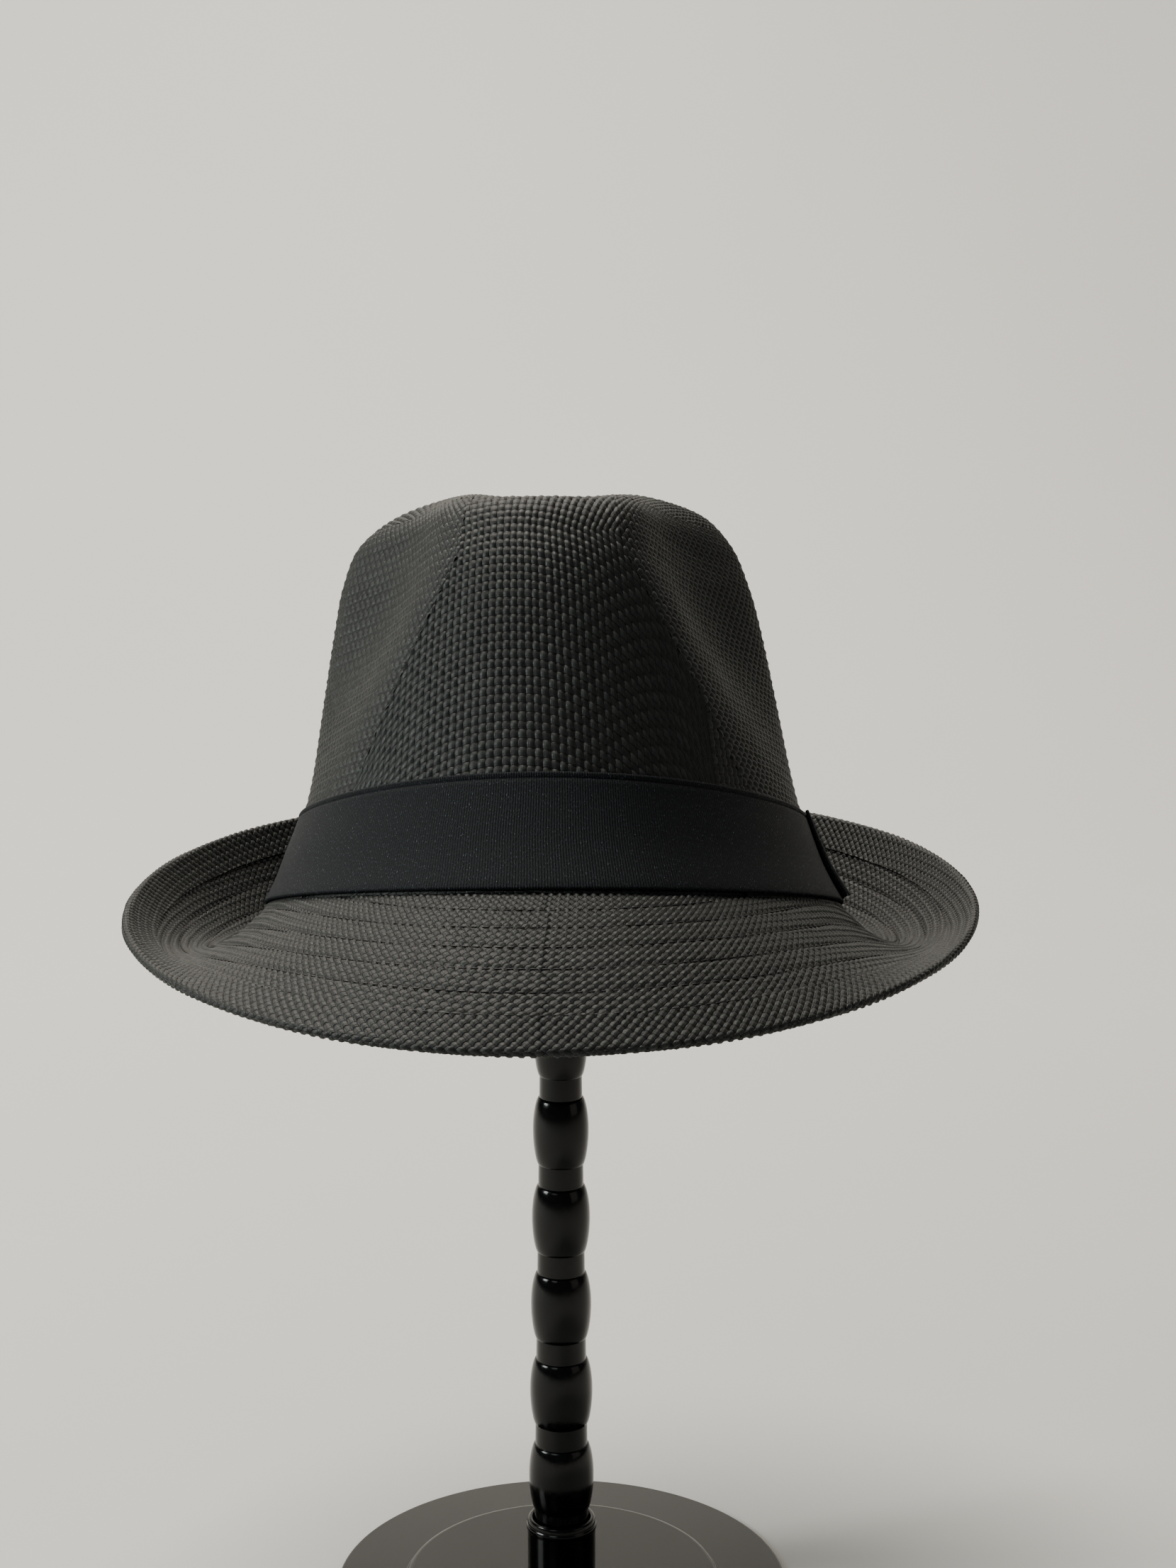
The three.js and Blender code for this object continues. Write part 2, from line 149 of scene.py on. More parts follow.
ROW_DEPTH = 0.35 * MM
ROW_WIDTH = 0.75 * MM
ROW_CLEARANCE = 3 * MM
FULL_SPACING = 2.0 * MM
LEAST_RELIEF = 0.3
PLAIN_HEIGHT = -0.1 * MM
HIDDEN_UNDER = 22 * MM

# Unevenness of the strands: their relief, how far they wander in strand widths, and the slow waves
# that both follow
UNEVEN_RELIEF = 0.2
RELIEF_WAVES = 3
WANDER = 0.1
STRAND_SHIFT = 0.07
STRANDS_SHIFTED = 2048
RIPPLE = {"waves": 6, "slowest": 0.12, "fastest": 0.5}
SEEDS = {"crown": 11, "brim": 21, "hem": 31}

# In strand counts: how near two points are the same, on a cell's edge and between two cloths, how
# clean a cut is, and the step that finds a lattice's normal
NEAR = 1e-6
SAME_POINT = 3e-4
CUT_WIDTH = 1e-9
LATTICE_STEP = 0.25

# A limit in metres that no cloth reaches, an empty list of cells, and a length to divide by in
# place of none
NO_LIMIT = 1.0
NO_CELLS = np.zeros((0, 2), int)
TINY = 1e-15

# Steps of the tables that read the crown by level and angle, and the brim by angle and share
LEVEL_STEPS = 1101
ANGLE_STEPS = 721
SHARE_STEPS = 121

# Ribbon. Its sewn line is a row of drops below the top edge in millimetres, with the share of the
# ribbon's thickness at each. FLAT_START is where its section turns flat, and SURFACE_STEP is the
# step in radians and levels that finds the crown's normal.
BAND_TOP = {"mean": 30.0 * MM, "twice": 2.2 * MM}
BAND_FOOT = 0.7 * MM
BAND_STEPS = 300
RIBBON = 1.0 * MM
ROUND_FOOT = 0.5 * MM
TOP_ROLL = 0.6 * MM
SEWN_LINE = ((1.95, 1), (1.7, 0.6), (1.4, 0.6), (1.25, 1))
FLAT_START = 4
SURFACE_STEP = 0.004

# Bow, with its angles in degrees
BOW = {"start": 80, "knot_start": 96.3, "knot_end": 100.9, "end": 118,
       "foot": 1.6 * MM, "top": 28.6 * MM}
BOW_MIDDLE = (BOW["foot"] + BOW["top"]) / 2
BOW_WIDTH = BOW["top"] - BOW["foot"]
BOW_RISE = {"top": 1.1 * MM, "foot": 3.0 * MM, "knot": 1.2 * MM}
BOW_RADIUS = 85 * MM
UNDER_BOW = 2 * GAP + RIBBON
LOOP_RIBBON = 0.45 * MM
LOOP = {"flat_steps": 14, "bend_steps": 9, "rows": 19, "gather": 0.14, "swell": 0.35,
        "folds": 5, "fold": 0.16 * MM, "least_reach": 0.12 * MM, "short": 1.2 * MM}
KNOT_GAP = 0.2
KNOT_OVERHANG = 0.5 * MM
KNOT = {"across_steps": 17, "rows": 25, "least": 0.3 * MM, "lower": 0.5 * MM, "folds": 3,
        "fold": 0.18 * MM, "width": 7.0}

# Thread of the sewn rows, and how far it lies above the bottom of its groove
STITCH = {"pitch": 3.1 * MM, "length": 2.3 * MM, "width": 0.42 * MM}
THREAD_LIFT = 0.12 * MM
HEM_ROW = HEM_WIDTH + 0.5 * MM
ROW_POINTS = 400

# Stand: the column's radii are taken at the floor and shrink with height, and the outlines are
# radius and height
COLUMN = {"foot": 19.0 * MM, "first_neck": 19.7 * MM, "neck": 6.9 * MM, "pitch": 28.9 * MM, "beads": 7}
NECK_RADIUS = {"floor": 9.15 * MM, "taper": 0.0142}
BEAD_RADIUS = {"floor": 11.0 * MM, "taper": 0.0139}
BEAD_SKEW = 0.9
BEAD_FULLNESS = 0.6
BEAD_STEPS = 25
SOCKET_OUTLINE = MM * np.array([
    (0, 4.5), (11.0, 4.5), (11.0, 19.3), (11.4, 19.9), (11.4, 20.9), (11.0, 21.4), (11.0, 21.9),
    (10.7, 23.1), (10.0, 23.5), (9.35, 23.2), (9.15, 22.5), (9.15, 18.4), (0, 18.4)])
BASE_OUTLINE = MM * np.array([
    (0, 0), (72.4, 0), (73.0, 1.0), (72.4, 2.0), (50.9, 2.0), (50.5, 2.8), (50.0, 3.8), (48.7, 4.2),
    (0, 4.2)])
REST = {"foot": 12.6 * MM, "flare": 16.8 * MM, "lip": 26.6 * MM, "rim": 28 * MM, "dome": 12 * MM,
        "flare_drop": 6 * MM, "lip_drop": 4.2 * MM}
DOME_RADII = np.linspace(27, 1, 14) * MM
ROUNDED = {"rest": 1 * MM, "socket": 0.4 * MM, "base": 0.5 * MM}
CORNER_STEPS = 6
TURNED_SIDES = 64
BASE_SIDES = 144
SHARP = 50 * DEGREE

# Studio, in metres: a floor that curves up into a wall, and the lights with their place, aim,
# size, power in watts and colour
FLOOR = {"front": -4.0, "curve_from": 1.0, "radius": 0.8, "top": 5.0, "half_width": 6}
CURVE_STEPS = 17
WORLD_LIGHT = 0.1
AIM = (0, 0, 0.26)
LIGHTS = {
    "key": ((-1.25, -0.3, 0.74), AIM, 0.45, 13, "f4fbf6"),
    "front": ((-0.7, -1.2, 1.1), AIM, 0.6, 2.4, "f4f8fb"),
    "fill": ((1.3, -0.7, 0.6), AIM, 0.9, 1.2, "fff3e6"),
    "wall": ((-0.5, 0.7, 2.2), (0.2, 1.8, 0.7), 1.4, 75, "fff8ee"),
}

# Sockets of a Mix node that its names don't tell apart
VECTOR_A, VECTOR_B, COLOUR_A, COLOUR_B = 4, 5, 6, 7
MIXED_VECTOR, MIXED_COLOUR = 1, 2


def linear(code):
    """An sRGB hex colour such as "1b1d1c" as linear red, green, blue and alpha."""
    values = [int(code[at:at + 2], 16) / 255 for at in (0, 2, 4)]
    return [v / 12.92 if v <= 0.04045 else ((v + 0.055) / 1.055) ** 2.4 for v in values] + [1.0]


def add_node(tree, kind, inputs=None, **settings):
    """A node with its settings, and its sockets set to a value or linked to another socket, which
    for a node is its first output."""
    node = tree.nodes.new(kind)
    for name, value in settings.items():
        setattr(node, name, value)
    for name, value in (inputs or {}).items():
        if isinstance(value, bpy.types.Node):
            value = value.outputs[0]
        if isinstance(value, bpy.types.NodeSocket):
            tree.links.new(value, node.inputs[name])
        else:
            node.inputs[name].default_value = value
    return node


def new_material(name):
    material = bpy.data.materials.new(name)
    material.use_nodes = True
    material.node_tree.nodes.clear()
    return material, material.node_tree


def set_shader(tree, inputs):
    """Gives a material its surface, with the shader's sockets set or linked."""
    shader = add_node(tree, "ShaderNodeBsdfPrincipled", inputs)
    add_node(tree, "ShaderNodeOutputMaterial", {"Surface": shader})


def add_object(name, data):
    made = bpy.data.objects.new(name, data)
    bpy.context.scene.collection.objects.link(made)
    return made


def read_level(level):
    """A smooth curve through the rows of CROWN_LEVELS, at levels that need not be whole."""
    start = np.clip(np.floor(level).astype(int), 0, LAST_LEVEL - 1)
    part = (level - start)[..., None]
    row, following = CROWN_LEVELS[start], CROWN_LEVELS[start + 1]
    before = np.where((start > 0)[..., None], CROWN_LEVELS[start - 1], 2 * row - following)
    last = (start + 2 > LAST_LEVEL)[..., None]
    after = np.where(last, following, CROWN_LEVELS[np.minimum(start + 2, LAST_LEVEL)])
    return 0.5 * (2 * row + (following - before) * part
                  + (2 * before - 5 * row + 4 * following - after) * part ** 2
                  + (3 * row - before - 3 * following + after) * part ** 3)


def from_front(angle):
    """How far an angle is from the front, on either side."""
    return np.abs(np.arctan2(np.sin(angle), np.cos(angle)))


def pinch_crest(height):
    """How many degrees from the front a pinch's crest is."""
    return PINCH["crest"] + PINCH["lean"] * np.maximum(PINCH["top"] - height, 0) / MM


def pinch_depth(angle, height, half_width):
    crest = pinch_crest(height)
    across = np.clip((from_front(angle) / DEGREE - crest) / (PINCH["side"] - crest), 0, 1)
    share = np.clip((height - PINCH["foot"]) / (PINCH["full"] - PINCH["foot"]), 0, 1)
    rise = share ** 2 * (3 - 2 * share)
    fade = np.clip(half_width / PINCH["fade"], 0, 1) ** 3
    hollow = np.maximum(np.sin(np.pi * across), 0) ** PINCH["narrowing"]
    return PINCH["depth"] * hollow * rise * fade


def crown_point(angle, level):
    """The crown's outer surface in the hat's own frame. The angle is 0 at the front."""
    height, half_width, front, back, centre = np.moveaxis(read_level(level), -1, 0)
    reach = np.where(np.cos(angle) > 0, front, back)
    pinch = pinch_depth(angle, height, half_width)
    x = half_width * np.sin(angle) - np.sign(np.sin(angle)) * pinch * PINCH["inward"]
    y = -reach * np.cos(angle) + pinch * PINCH["backward"]
    along = (y - CREASE["front"]) / (CREASE["back"] - CREASE["front"])
    width = CREASE["narrow"] + (CREASE["wide"] - CREASE["narrow"]) * np.clip(along, 0, 1)
    run = np.maximum(1 - (2 * along - 1) ** 2, 0)
    shape = np.exp(-(x / width) ** 2) * run ** CREASE["tapering"]
    crease = CREASE["depth"] * shape * (level >= SHOULDER_LEVEL)
    dip = BREAK_DIP["depth"] * np.cos(angle) ** 2 * np.clip(1 - height / BREAK_DIP["gone_at"], 0, 1)
    return np.stack([centre + x, y, height - crease - dip], -1)


def round_the_edge(angle, heights):
    return heights["mean"] + heights["once"] * np.cos(angle) + heights["twice"] * np.cos(2 * angle)


def brim_point(angle, share):
    """The brim's top in the hat's own frame, from the break at share 0 to the edge at 1."""
    reach = np.where(np.cos(angle) > 0, BRIM_OUTLINE["front"], BRIM_OUTLINE["back"])
    x = BRIM_OUTLINE["centre"] + BRIM_OUTLINE["half_width"] * np.sin(angle)
    height = round_the_edge(angle, EDGE_HEIGHT) + EDGE_HEIGHT["lean"] * np.sin(angle)
    edge = np.stack([x, -reach * np.cos(angle), height], -1)
    foot = crown_point(angle, np.zeros_like(angle))
    point = foot + (edge - foot) * share[..., None]
    point[..., 2] -= 4 * share * (1 - share) * round_the_edge(angle, BRIM_HOLLOW)
    return point


def on_stand(points):
    """From the hat's own frame to its place on the stand."""
    x, y, z = np.moveaxis(points, -1, 0)
    turned = [x, y * math.cos(TIP_BACK) + z * math.sin(TIP_BACK),
              z * math.cos(TIP_BACK) - y * math.sin(TIP_BACK)]
    return np.stack(turned, -1) + BREAK_CENTRE


def normals(surface, a, b, step):
    """Unit normals of a surface of two parameters."""
    along_a = surface(a + step, b) - surface(a - step, b)
    along_b = surface(a, b + step) - surface(a, b - step)
    normal = np.cross(along_a, along_b)
    return normal / np.maximum(np.linalg.norm(normal, axis=-1, keepdims=True), TINY)


# Levels along the crown's wall by height, and along its whole section by path from the middle
LEVELS = np.linspace(0, LAST_LEVEL, LEVEL_STEPS)
LEVEL_ROWS = read_level(LEVELS)
WALL = LEVELS <= SHOULDER_LEVEL


def level_at(height):
    return np.interp(height, LEVEL_ROWS[WALL, 0], LEVELS[WALL])


def path_from_middle():
    """How far each of LEVELS is from the middle of the top, over the crown's mean section."""
    section = np.stack([LEVEL_ROWS[:, 0], LEVEL_ROWS[:, 1:4].mean(1)], -1)
    steps = np.linalg.norm(np.diff(section, axis=0), axis=1)
    return np.append(steps[::-1].cumsum()[::-1], 0)


PATH = path_from_middle()
DOME = float(np.interp(SHOULDER_LEVEL, LEVELS, PATH))
TOP_ROW = read_level(np.array(float(SHOULDER_LEVEL)))

# The way round the crown's wall from the front, by angle
WALL_ANGLES = np.linspace(0, 2 * math.pi, ANGLE_STEPS)
WALL_RING = crown_point(WALL_ANGLES, np.full_like(WALL_ANGLES, level_at(COUNT_HEIGHT)))
WALL_WAY = np.append(0, np.linalg.norm(np.diff(WALL_RING, axis=0), axis=1).cumsum())
FRONT_QUARTER = float(np.interp(math.pi / 2, WALL_ANGLES, WALL_WAY))
HALF_ROUND = float(np.interp(math.pi, WALL_ANGLES, WALL_WAY))


def crown_cloth(across, along):
    """Angle and path on the crown of a point of the cloth that covers its top and hangs down its
    front and back. Its strands keep their distance, and those across sag towards the sides."""
    ahead = along > 0
    a = np.abs(across) * DOME / TOP_ROW[1]
    b = np.abs(along) * DOME / np.where(ahead, TOP_ROW[2], TOP_ROW[3])
    rim = np.sqrt(np.maximum(DOME ** 2 - a ** 2, 0))
    radius = np.hypot(a, b)
    path = np.where(radius < DOME, radius, DOME + np.maximum(b - rim, 0))
    top_turn = np.where(radius < DOME, np.arctan2(a, b), np.arcsin(np.minimum(a / DOME, 1)))
    way = np.abs(across)
    front_turn = np.interp(np.minimum(way, FRONT_QUARTER), WALL_WAY, WALL_ANGLES)
    way = np.minimum(way, HALF_ROUND - FRONT_QUARTER)
    back_turn = math.pi - np.interp(HALF_ROUND - way, WALL_WAY, WALL_ANGLES)
    wall_turn = np.where(ahead, front_turn, back_turn)
    turn = top_turn + (wall_turn - top_turn) * np.clip((path - DOME) / SHOULDER_BLEND, 0, 1)
    angle = np.where(ahead, turn, math.pi - turn) * np.where(across < 0, -1, 1) + GRAIN_TURN
    return angle, path


def side_cloth(a, b, hand):
    """Angle and path on the crown of a point of a side's cloth, in strand counts. The hand is 1 on
    the right and -1 on the left."""
    across, along = a * SIDE_STRANDS["across"], b * SIDE_STRANDS["along"]
    way = FRONT_QUARTER - across * math.cos(SIDE_TURN) + along * math.sin(SIDE_TURN)
    rise = across * math.sin(SIDE_TURN) + along * math.cos(SIDE_TURN)
    turn = np.interp(np.clip(way, 0, HALF_ROUND), WALL_WAY, WALL_ANGLES)
    return hand * turn, (PATH[0] + DOME) / 2 - rise


def crown_at(angle, path):
    """The crown's outer surface by path, which runs on straight a little past the foot."""
    beyond = np.maximum(path - PATH[0], 0) / (PATH[0] - np.interp(1, LEVELS, PATH))
    return crown_point(angle, np.interp(path, PATH[::-1], LEVELS[::-1]) - beyond)


def side_depth(angle, path):
    """How far a point of the crown lies inside the cloth of a side, negative outside it."""
    turn = from_front(angle)
    height = np.interp(path, PATH[::-1], LEVEL_ROWS[::-1, 0])
    beside = (np.minimum(turn, math.pi - turn) - pinch_crest(height) * DEGREE) * SIDE_RADIUS
    return np.minimum(beside, path - DOME + SIDE_TOP)


def main_cloth(a, b):
    return crown_cloth(a * CROWN_STRANDS["across"], b * CROWN_STRANDS["along"])


def crown_panel(cloth, sign):
    """A panel's surface by strand counts, how far a point is outside the panel, and how freely its
    strands may wander. The sign is 1 for the cloth outside the sides and -1 for a side's."""
    def surface(a, b):
        return crown_at(*cloth(a, b))

    def outside(a, b):
        angle, path = cloth(a, b)
        return np.maximum(side_depth(angle, path) * sign, path - PATH[0])

    def freedom(a, b):
        return np.clip(-sign * side_depth(*cloth(a, b)) / CALM, 0, 1)
    return surface, outside, freedom


# The brim read by the distance round it and the distance from its edge
BRIM_ANGLES = np.linspace(0, 2 * math.pi, ANGLE_STEPS)
BRIM_SHARES = np.linspace(0, 1, SHARE_STEPS)


def brim_tables():
    """For each of BRIM_ANGLES: the way round to it, the brim's width, and the shares at even
    parts of that width from the edge."""
    angles, shares = np.meshgrid(BRIM_ANGLES, BRIM_SHARES, indexing="ij")
    points = brim_point(angles, shares)
    middle = points[:, len(BRIM_SHARES) // 2]
    round_it = np.append(0, np.linalg.norm(np.diff(middle, axis=0), axis=1).cumsum())
    steps = np.linalg.norm(np.diff(points, axis=1), axis=2)
    from_edge = np.concatenate([steps[:, ::-1].cumsum(1)[:, ::-1], np.zeros((len(points), 1))], 1)
    width = from_edge[:, 0]
    inverse = [np.interp(BRIM_SHARES * whole, row[::-1], BRIM_SHARES[::-1])
               for whole, row in zip(width, from_edge)]
    return round_it, width, np.array(inverse)


ROUND_IT, BRIM_WIDTH, SHARE_TABLE = brim_tables()
BRIM_LENGTH = float(ROUND_IT[-1])


def share_at(angle, from_edge):
    """The share of the brim's width at a distance from its edge, below 0 inside the break."""
    angle = np.mod(angle, 2 * math.pi)
    width = np.interp(angle, BRIM_ANGLES, BRIM_WIDTH)
    part = from_edge / width
    row = angle / BRIM_ANGLES[1]
    low = np.clip(row.astype(int), 0, len(BRIM_ANGLES) - 2)
    column = np.clip(part, 0, 1) * (len(BRIM_SHARES) - 1)
    left = np.clip(column.astype(int), 0, len(BRIM_SHARES) - 2)
    u, v = row - low, column - left
    share = ((1 - u) * (1 - v) * SHARE_TABLE[low, left] + (1 - u) * v * SHARE_TABLE[low, left + 1]
             + u * (1 - v) * SHARE_TABLE[low + 1, left] + u * v * SHARE_TABLE[low + 1, left + 1])
    return share - np.maximum(part - 1, 0) + np.maximum(-part, 0)


def brim_surface(round_it, from_edge):
    angle = np.interp(np.mod(round_it, BRIM_LENGTH), ROUND_IT, BRIM_ANGLES)
    return brim_point(angle, share_at(angle, from_edge))


def brim_up(round_it, from_edge):
    """The brim's unit normal, pointing up."""
    up = normals(brim_surface, round_it, from_edge, NORMAL_STEP)
    return up * np.sign(up[..., 2:3])


# The brim's cloth is turned so that its strands meet the edge aslant, with a whole number of
# strands of both kinds round the hat
BRIM_STRAND_TURN = math.atan2(BRIM_STRANDS["aside"], BRIM_STRANDS["around"])
BRIM_STRAND = BRIM_LENGTH / math.hypot(BRIM_STRANDS["aside"], BRIM_STRANDS["around"])


def brim_ways(a, b):
    """Distance round the brim and distance from its edge, from the brim's strand counts."""
    turn = BRIM_STRAND_TURN
    round_it = (a * math.cos(turn) - b * math.sin(turn)) * BRIM_STRAND
    from_edge = (a * math.sin(turn) + b * math.cos(turn)) * BRIM_STRAND
    return round_it, from_edge


def brim_lattice(a, b):
    return brim_surface(*brim_ways(a, b))


def brim_width_at(round_it):
    return np.interp(np.mod(round_it, BRIM_LENGTH), ROUND_IT, BRIM_WIDTH)


def brim_from_break(a, b):
    """How far a point of the brim's cloth is from the break, negative inside it."""
    round_it, from_edge = brim_ways(a, b)
    return brim_width_at(round_it) - from_edge


# The hem is the edge of the cloth, folded round the brim's edge. Its way runs from its sewn edge
# on top, round the fold, to its sewn edge below.
HEM_HALF = BRIM_STRAW / 2 + HEM_LIFT
HEM_FLAT = HEM_WIDTH - HEM_HALF
HEM_WAY = 2 * HEM_FLAT + math.pi * HEM_HALF
HEM_TURN = math.atan2(HEM_STRANDS["aside"], HEM_STRANDS["around"])


def hem_length():
    """The way round the hat in the middle of the hem."""
    angles = BRIM_ANGLES[::2]
    ring = brim_point(angles, share_at(angles, np.full_like(angles, HEM_WIDTH / 2)))
    return float(np.linalg.norm(np.diff(ring, axis=0), axis=1).sum())


HEM_LENGTH = hem_length()
HEM_STRAND = HEM_LENGTH / math.hypot(HEM_STRANDS["aside"], HEM_STRANDS["around"])


def hem_ways(a, b):
    """Distance round the brim's middle and the hem's way, from the hem's strand counts."""
    round_it = (a * math.cos(HEM_TURN) - b * math.sin(HEM_TURN)) * HEM_STRAND
    way = (a * math.sin(HEM_TURN) + b * math.cos(HEM_TURN)) * HEM_STRAND
    return round_it * BRIM_LENGTH / HEM_LENGTH, way


def hem_lattice(a, b):
    round_it, way = hem_ways(a, b)
    turn = np.clip((way - HEM_FLAT) / HEM_HALF, 0, math.pi)
    fold = math.pi * HEM_HALF
    below = HEM_HALF + way - HEM_FLAT - fold
    from_edge = np.where(way > HEM_FLAT + fold, below, HEM_HALF * (1 - np.sin(turn)))
    from_edge = np.where(way < HEM_FLAT, HEM_WIDTH - way, from_edge)
    over = HEM_HALF * np.cos(turn) - BRIM_STRAW / 2
    up = brim_up(round_it, np.maximum(from_edge, 2 * NORMAL_STEP))
    return brim_surface(round_it, from_edge) + up * over[..., None]


def weave_height(a, b, weave):
    """Height of a plain weave over its middle plane: the higher of its warp, which runs along b,
    and its weft."""
    def strand(across, along, over, cord):
        local = across - np.floor(across) - 0.5
        swing = np.cos(math.pi * (along - np.floor(along) - 0.5))
        section = np.sqrt(np.maximum(1 - (local / cord["half"]) ** 2, 0)) - 1
        return cord["rise"] * over * swing + cord["round"] * section
    even = 1 - 2 * np.mod(np.floor(a) + np.floor(b), 2)
    return np.maximum(strand(a, b, even, weave[0]), strand(b, a, -even, weave[1])) - PEAK_DROP


def row_depth(from_edge):
    """How deep the sewn rows pull the brim's cloth in."""
    return sum(ROW_DEPTH * np.exp(-((from_edge - row) / ROW_WIDTH) ** 2) for row in SEWN_ROWS)


def ripple(a, b, seed):
    """A gentle unevenness of hand-laid strands, from -1 to 1."""
    rng = np.random.default_rng(seed)
    total = np.zeros_like(a)
    for _ in range(RIPPLE["waves"]):
        direction = rng.uniform(0, 2 * math.pi)
        count = rng.uniform(RIPPLE["slowest"], RIPPLE["fastest"])
        phase = rng.uniform(0, 2 * math.pi)
        total += np.sin(count * (a * math.cos(direction) + b * math.sin(direction)) + phase)
    return total / RIPPLE["waves"]


def cloth_faces(fine, plain, split):
    """Lattice points and faces of a cloth. A fine cell has split x split faces and a plain one
    has one, with the points of a fine neighbour along its sides."""
    steps = [(p, q) for p in range(split) for q in range(split)]
    corners = np.array([(0, 0), (1, 0), (1, 1), (0, 1)])
    quads = fine[:, None, None] * split + np.array(steps)[None, :, None] + corners[None, None]
    faces = quads.reshape(-1, 4, 2).tolist()
    fine_cells = set(map(tuple, fine.tolist()))
    sides = [((0, 0), (1, 0), (0, -1)), ((1, 0), (0, 1), (1, 0)),
             ((1, 1), (-1, 0), (0, 1)), ((0, 1), (0, -1), (-1, 0))]
    for i, j in plain.tolist():
        loop = []
        for start, way, beside in sides:
            count = split if (i + beside[0], j + beside[1]) in fine_cells else 1
            for step in range(count):
                loop.append([(i + start[0]) * split + way[0] * step,
                             (j + start[1]) * split + way[1] * step])
        faces.append(loop)
    index = {}
    numbered = [[index.setdefault(tuple(corner), len(index)) for corner in face] for face in faces]
    return np.array(list(index)) / split, numbered


def from_corners(measure, points):
    """A measure taken at the corners of each point's cell and spread evenly over the cell."""
    low = np.floor(points + NEAR)
    p, q = (points - low).T
    near_side = (1 - p) * measure(low[:, 0], low[:, 1]) + p * measure(low[:, 0] + 1, low[:, 1])
    far_side = (1 - p) * measure(low[:, 0], low[:, 1] + 1) + p * measure(low[:, 0] + 1, low[:, 1] + 1)
    return (1 - q) * near_side + q * far_side


def clipped_cloth(fine, plain, split, measure, limits):
    """The cloth in strand counts, cut off cleanly where a measure of it passes its limits. What is
    cut is kept in order, so that every run numbers the points alike."""
    points, faces = cloth_faces(fine, plain, split)
    mesh = bpy.data.meshes.new("cloth")
    mesh.from_pydata(np.column_stack([points, from_corners(measure, points)]).tolist(), [], faces)
    bm = bmesh.new()
    bm.from_mesh(mesh)
    for limit, way in zip(limits, (-1, 1)):
        beyond = [v for v in bm.verts if (v.co.z - limit) * way > 0]
        near = dict.fromkeys(face for v in beyond for face in v.link_faces)
        near_parts = dict.fromkeys(part for face in near for part in (*face.verts, *face.edges))
        bmesh.ops.bisect_plane(bm, geom=[*near, *near_parts], dist=CUT_WIDTH, plane_co=(0, 0, limit),
                               plane_no=(0, 0, way), clear_outer=True)
    bm.to_mesh(mesh)
    bm.free()
    points = np.zeros(3 * len(mesh.vertices))
    mesh.vertices.foreach_get("co", points)
    faces = [list(face.vertices) for face in mesh.polygons]
    bpy.data.meshes.remove(mesh)
    return points.reshape(-1, 3)[:, :2], faces


def open_edges(faces):
    """Edges with one face, each in the direction in which that face passes it."""
    ways = {}
    for face in faces:
        for start, end in zip(face, face[1:] + face[:1]):
            ways[(start, end)] = True
    return [(start, end) for start, end in ways if (end, start) not in ways]


def walls(outer_points, outer_faces, inner_points, inner_faces):
    """Faces that join the open edges of a fine outer cloth to those of a plain inner one."""
    rim = sorted({i for edge in open_edges(inner_faces) for i in edge})
    tree = KDTree(len(rim))
    for i in rim:
        tree.insert((*inner_points[i], 0), i)
    tree.balance()
    following = dict(open_edges(outer_faces))
    matched = {}
    for start in following:
        _, i, distance = tree.find((*outer_points[start], 0))
        if distance < SAME_POINT:
            matched[start] = i
    joined = []
    for start in matched:
        chain = [start]
        while chain[-1] == start or chain[-1] not in matched:
            chain.append(following[chain[-1]])
        joined.append((chain[::-1], list(dict.fromkeys([matched[start], matched[chain[-1]]]))))
    return joined


def relief(a, b, spacing, seed, ways):
    """Height of a cloth's outside over its middle: its strands, lower where they are pressed
    together, a little uneven, and pulled in along the sewn rows."""
    pressed = np.clip(spacing / FULL_SPACING, LEAST_RELIEF, 1)
    uneven = 1 + UNEVEN_RELIEF * ripple(a * RELIEF_WAVES, b * RELIEF_WAVES, seed + 2)
    if ways is None:
        return weave_height(a, b, CROWN_WEAVE) * pressed * uneven
    return weave_height(a, b, BRIM_WEAVE) * pressed * uneven - row_depth(ways(a, b)[1])


def in_cells(points, cells):
    """Which points lie in one of the cells or on its edge."""
    wanted = set(map(tuple, cells.tolist()))
    nudges = [(x, y) for x in (-NEAR, NEAR) for y in (-NEAR, NEAR)]
    return np.array([any((math.floor(a + x), math.floor(b + y)) in wanted for x, y in nudges)
                     for a, b in points])


def wandered(a, b, seed, free):
    """Strand counts with every strand laid a little off its place."""
    moved_a = a + (strand_shift(a, seed) + WANDER * ripple(a, b, seed + 3)) * free
    moved_b = b + (strand_shift(b, seed + 1) + WANDER * ripple(b, a, seed + 4)) * free
    return moved_a, moved_b


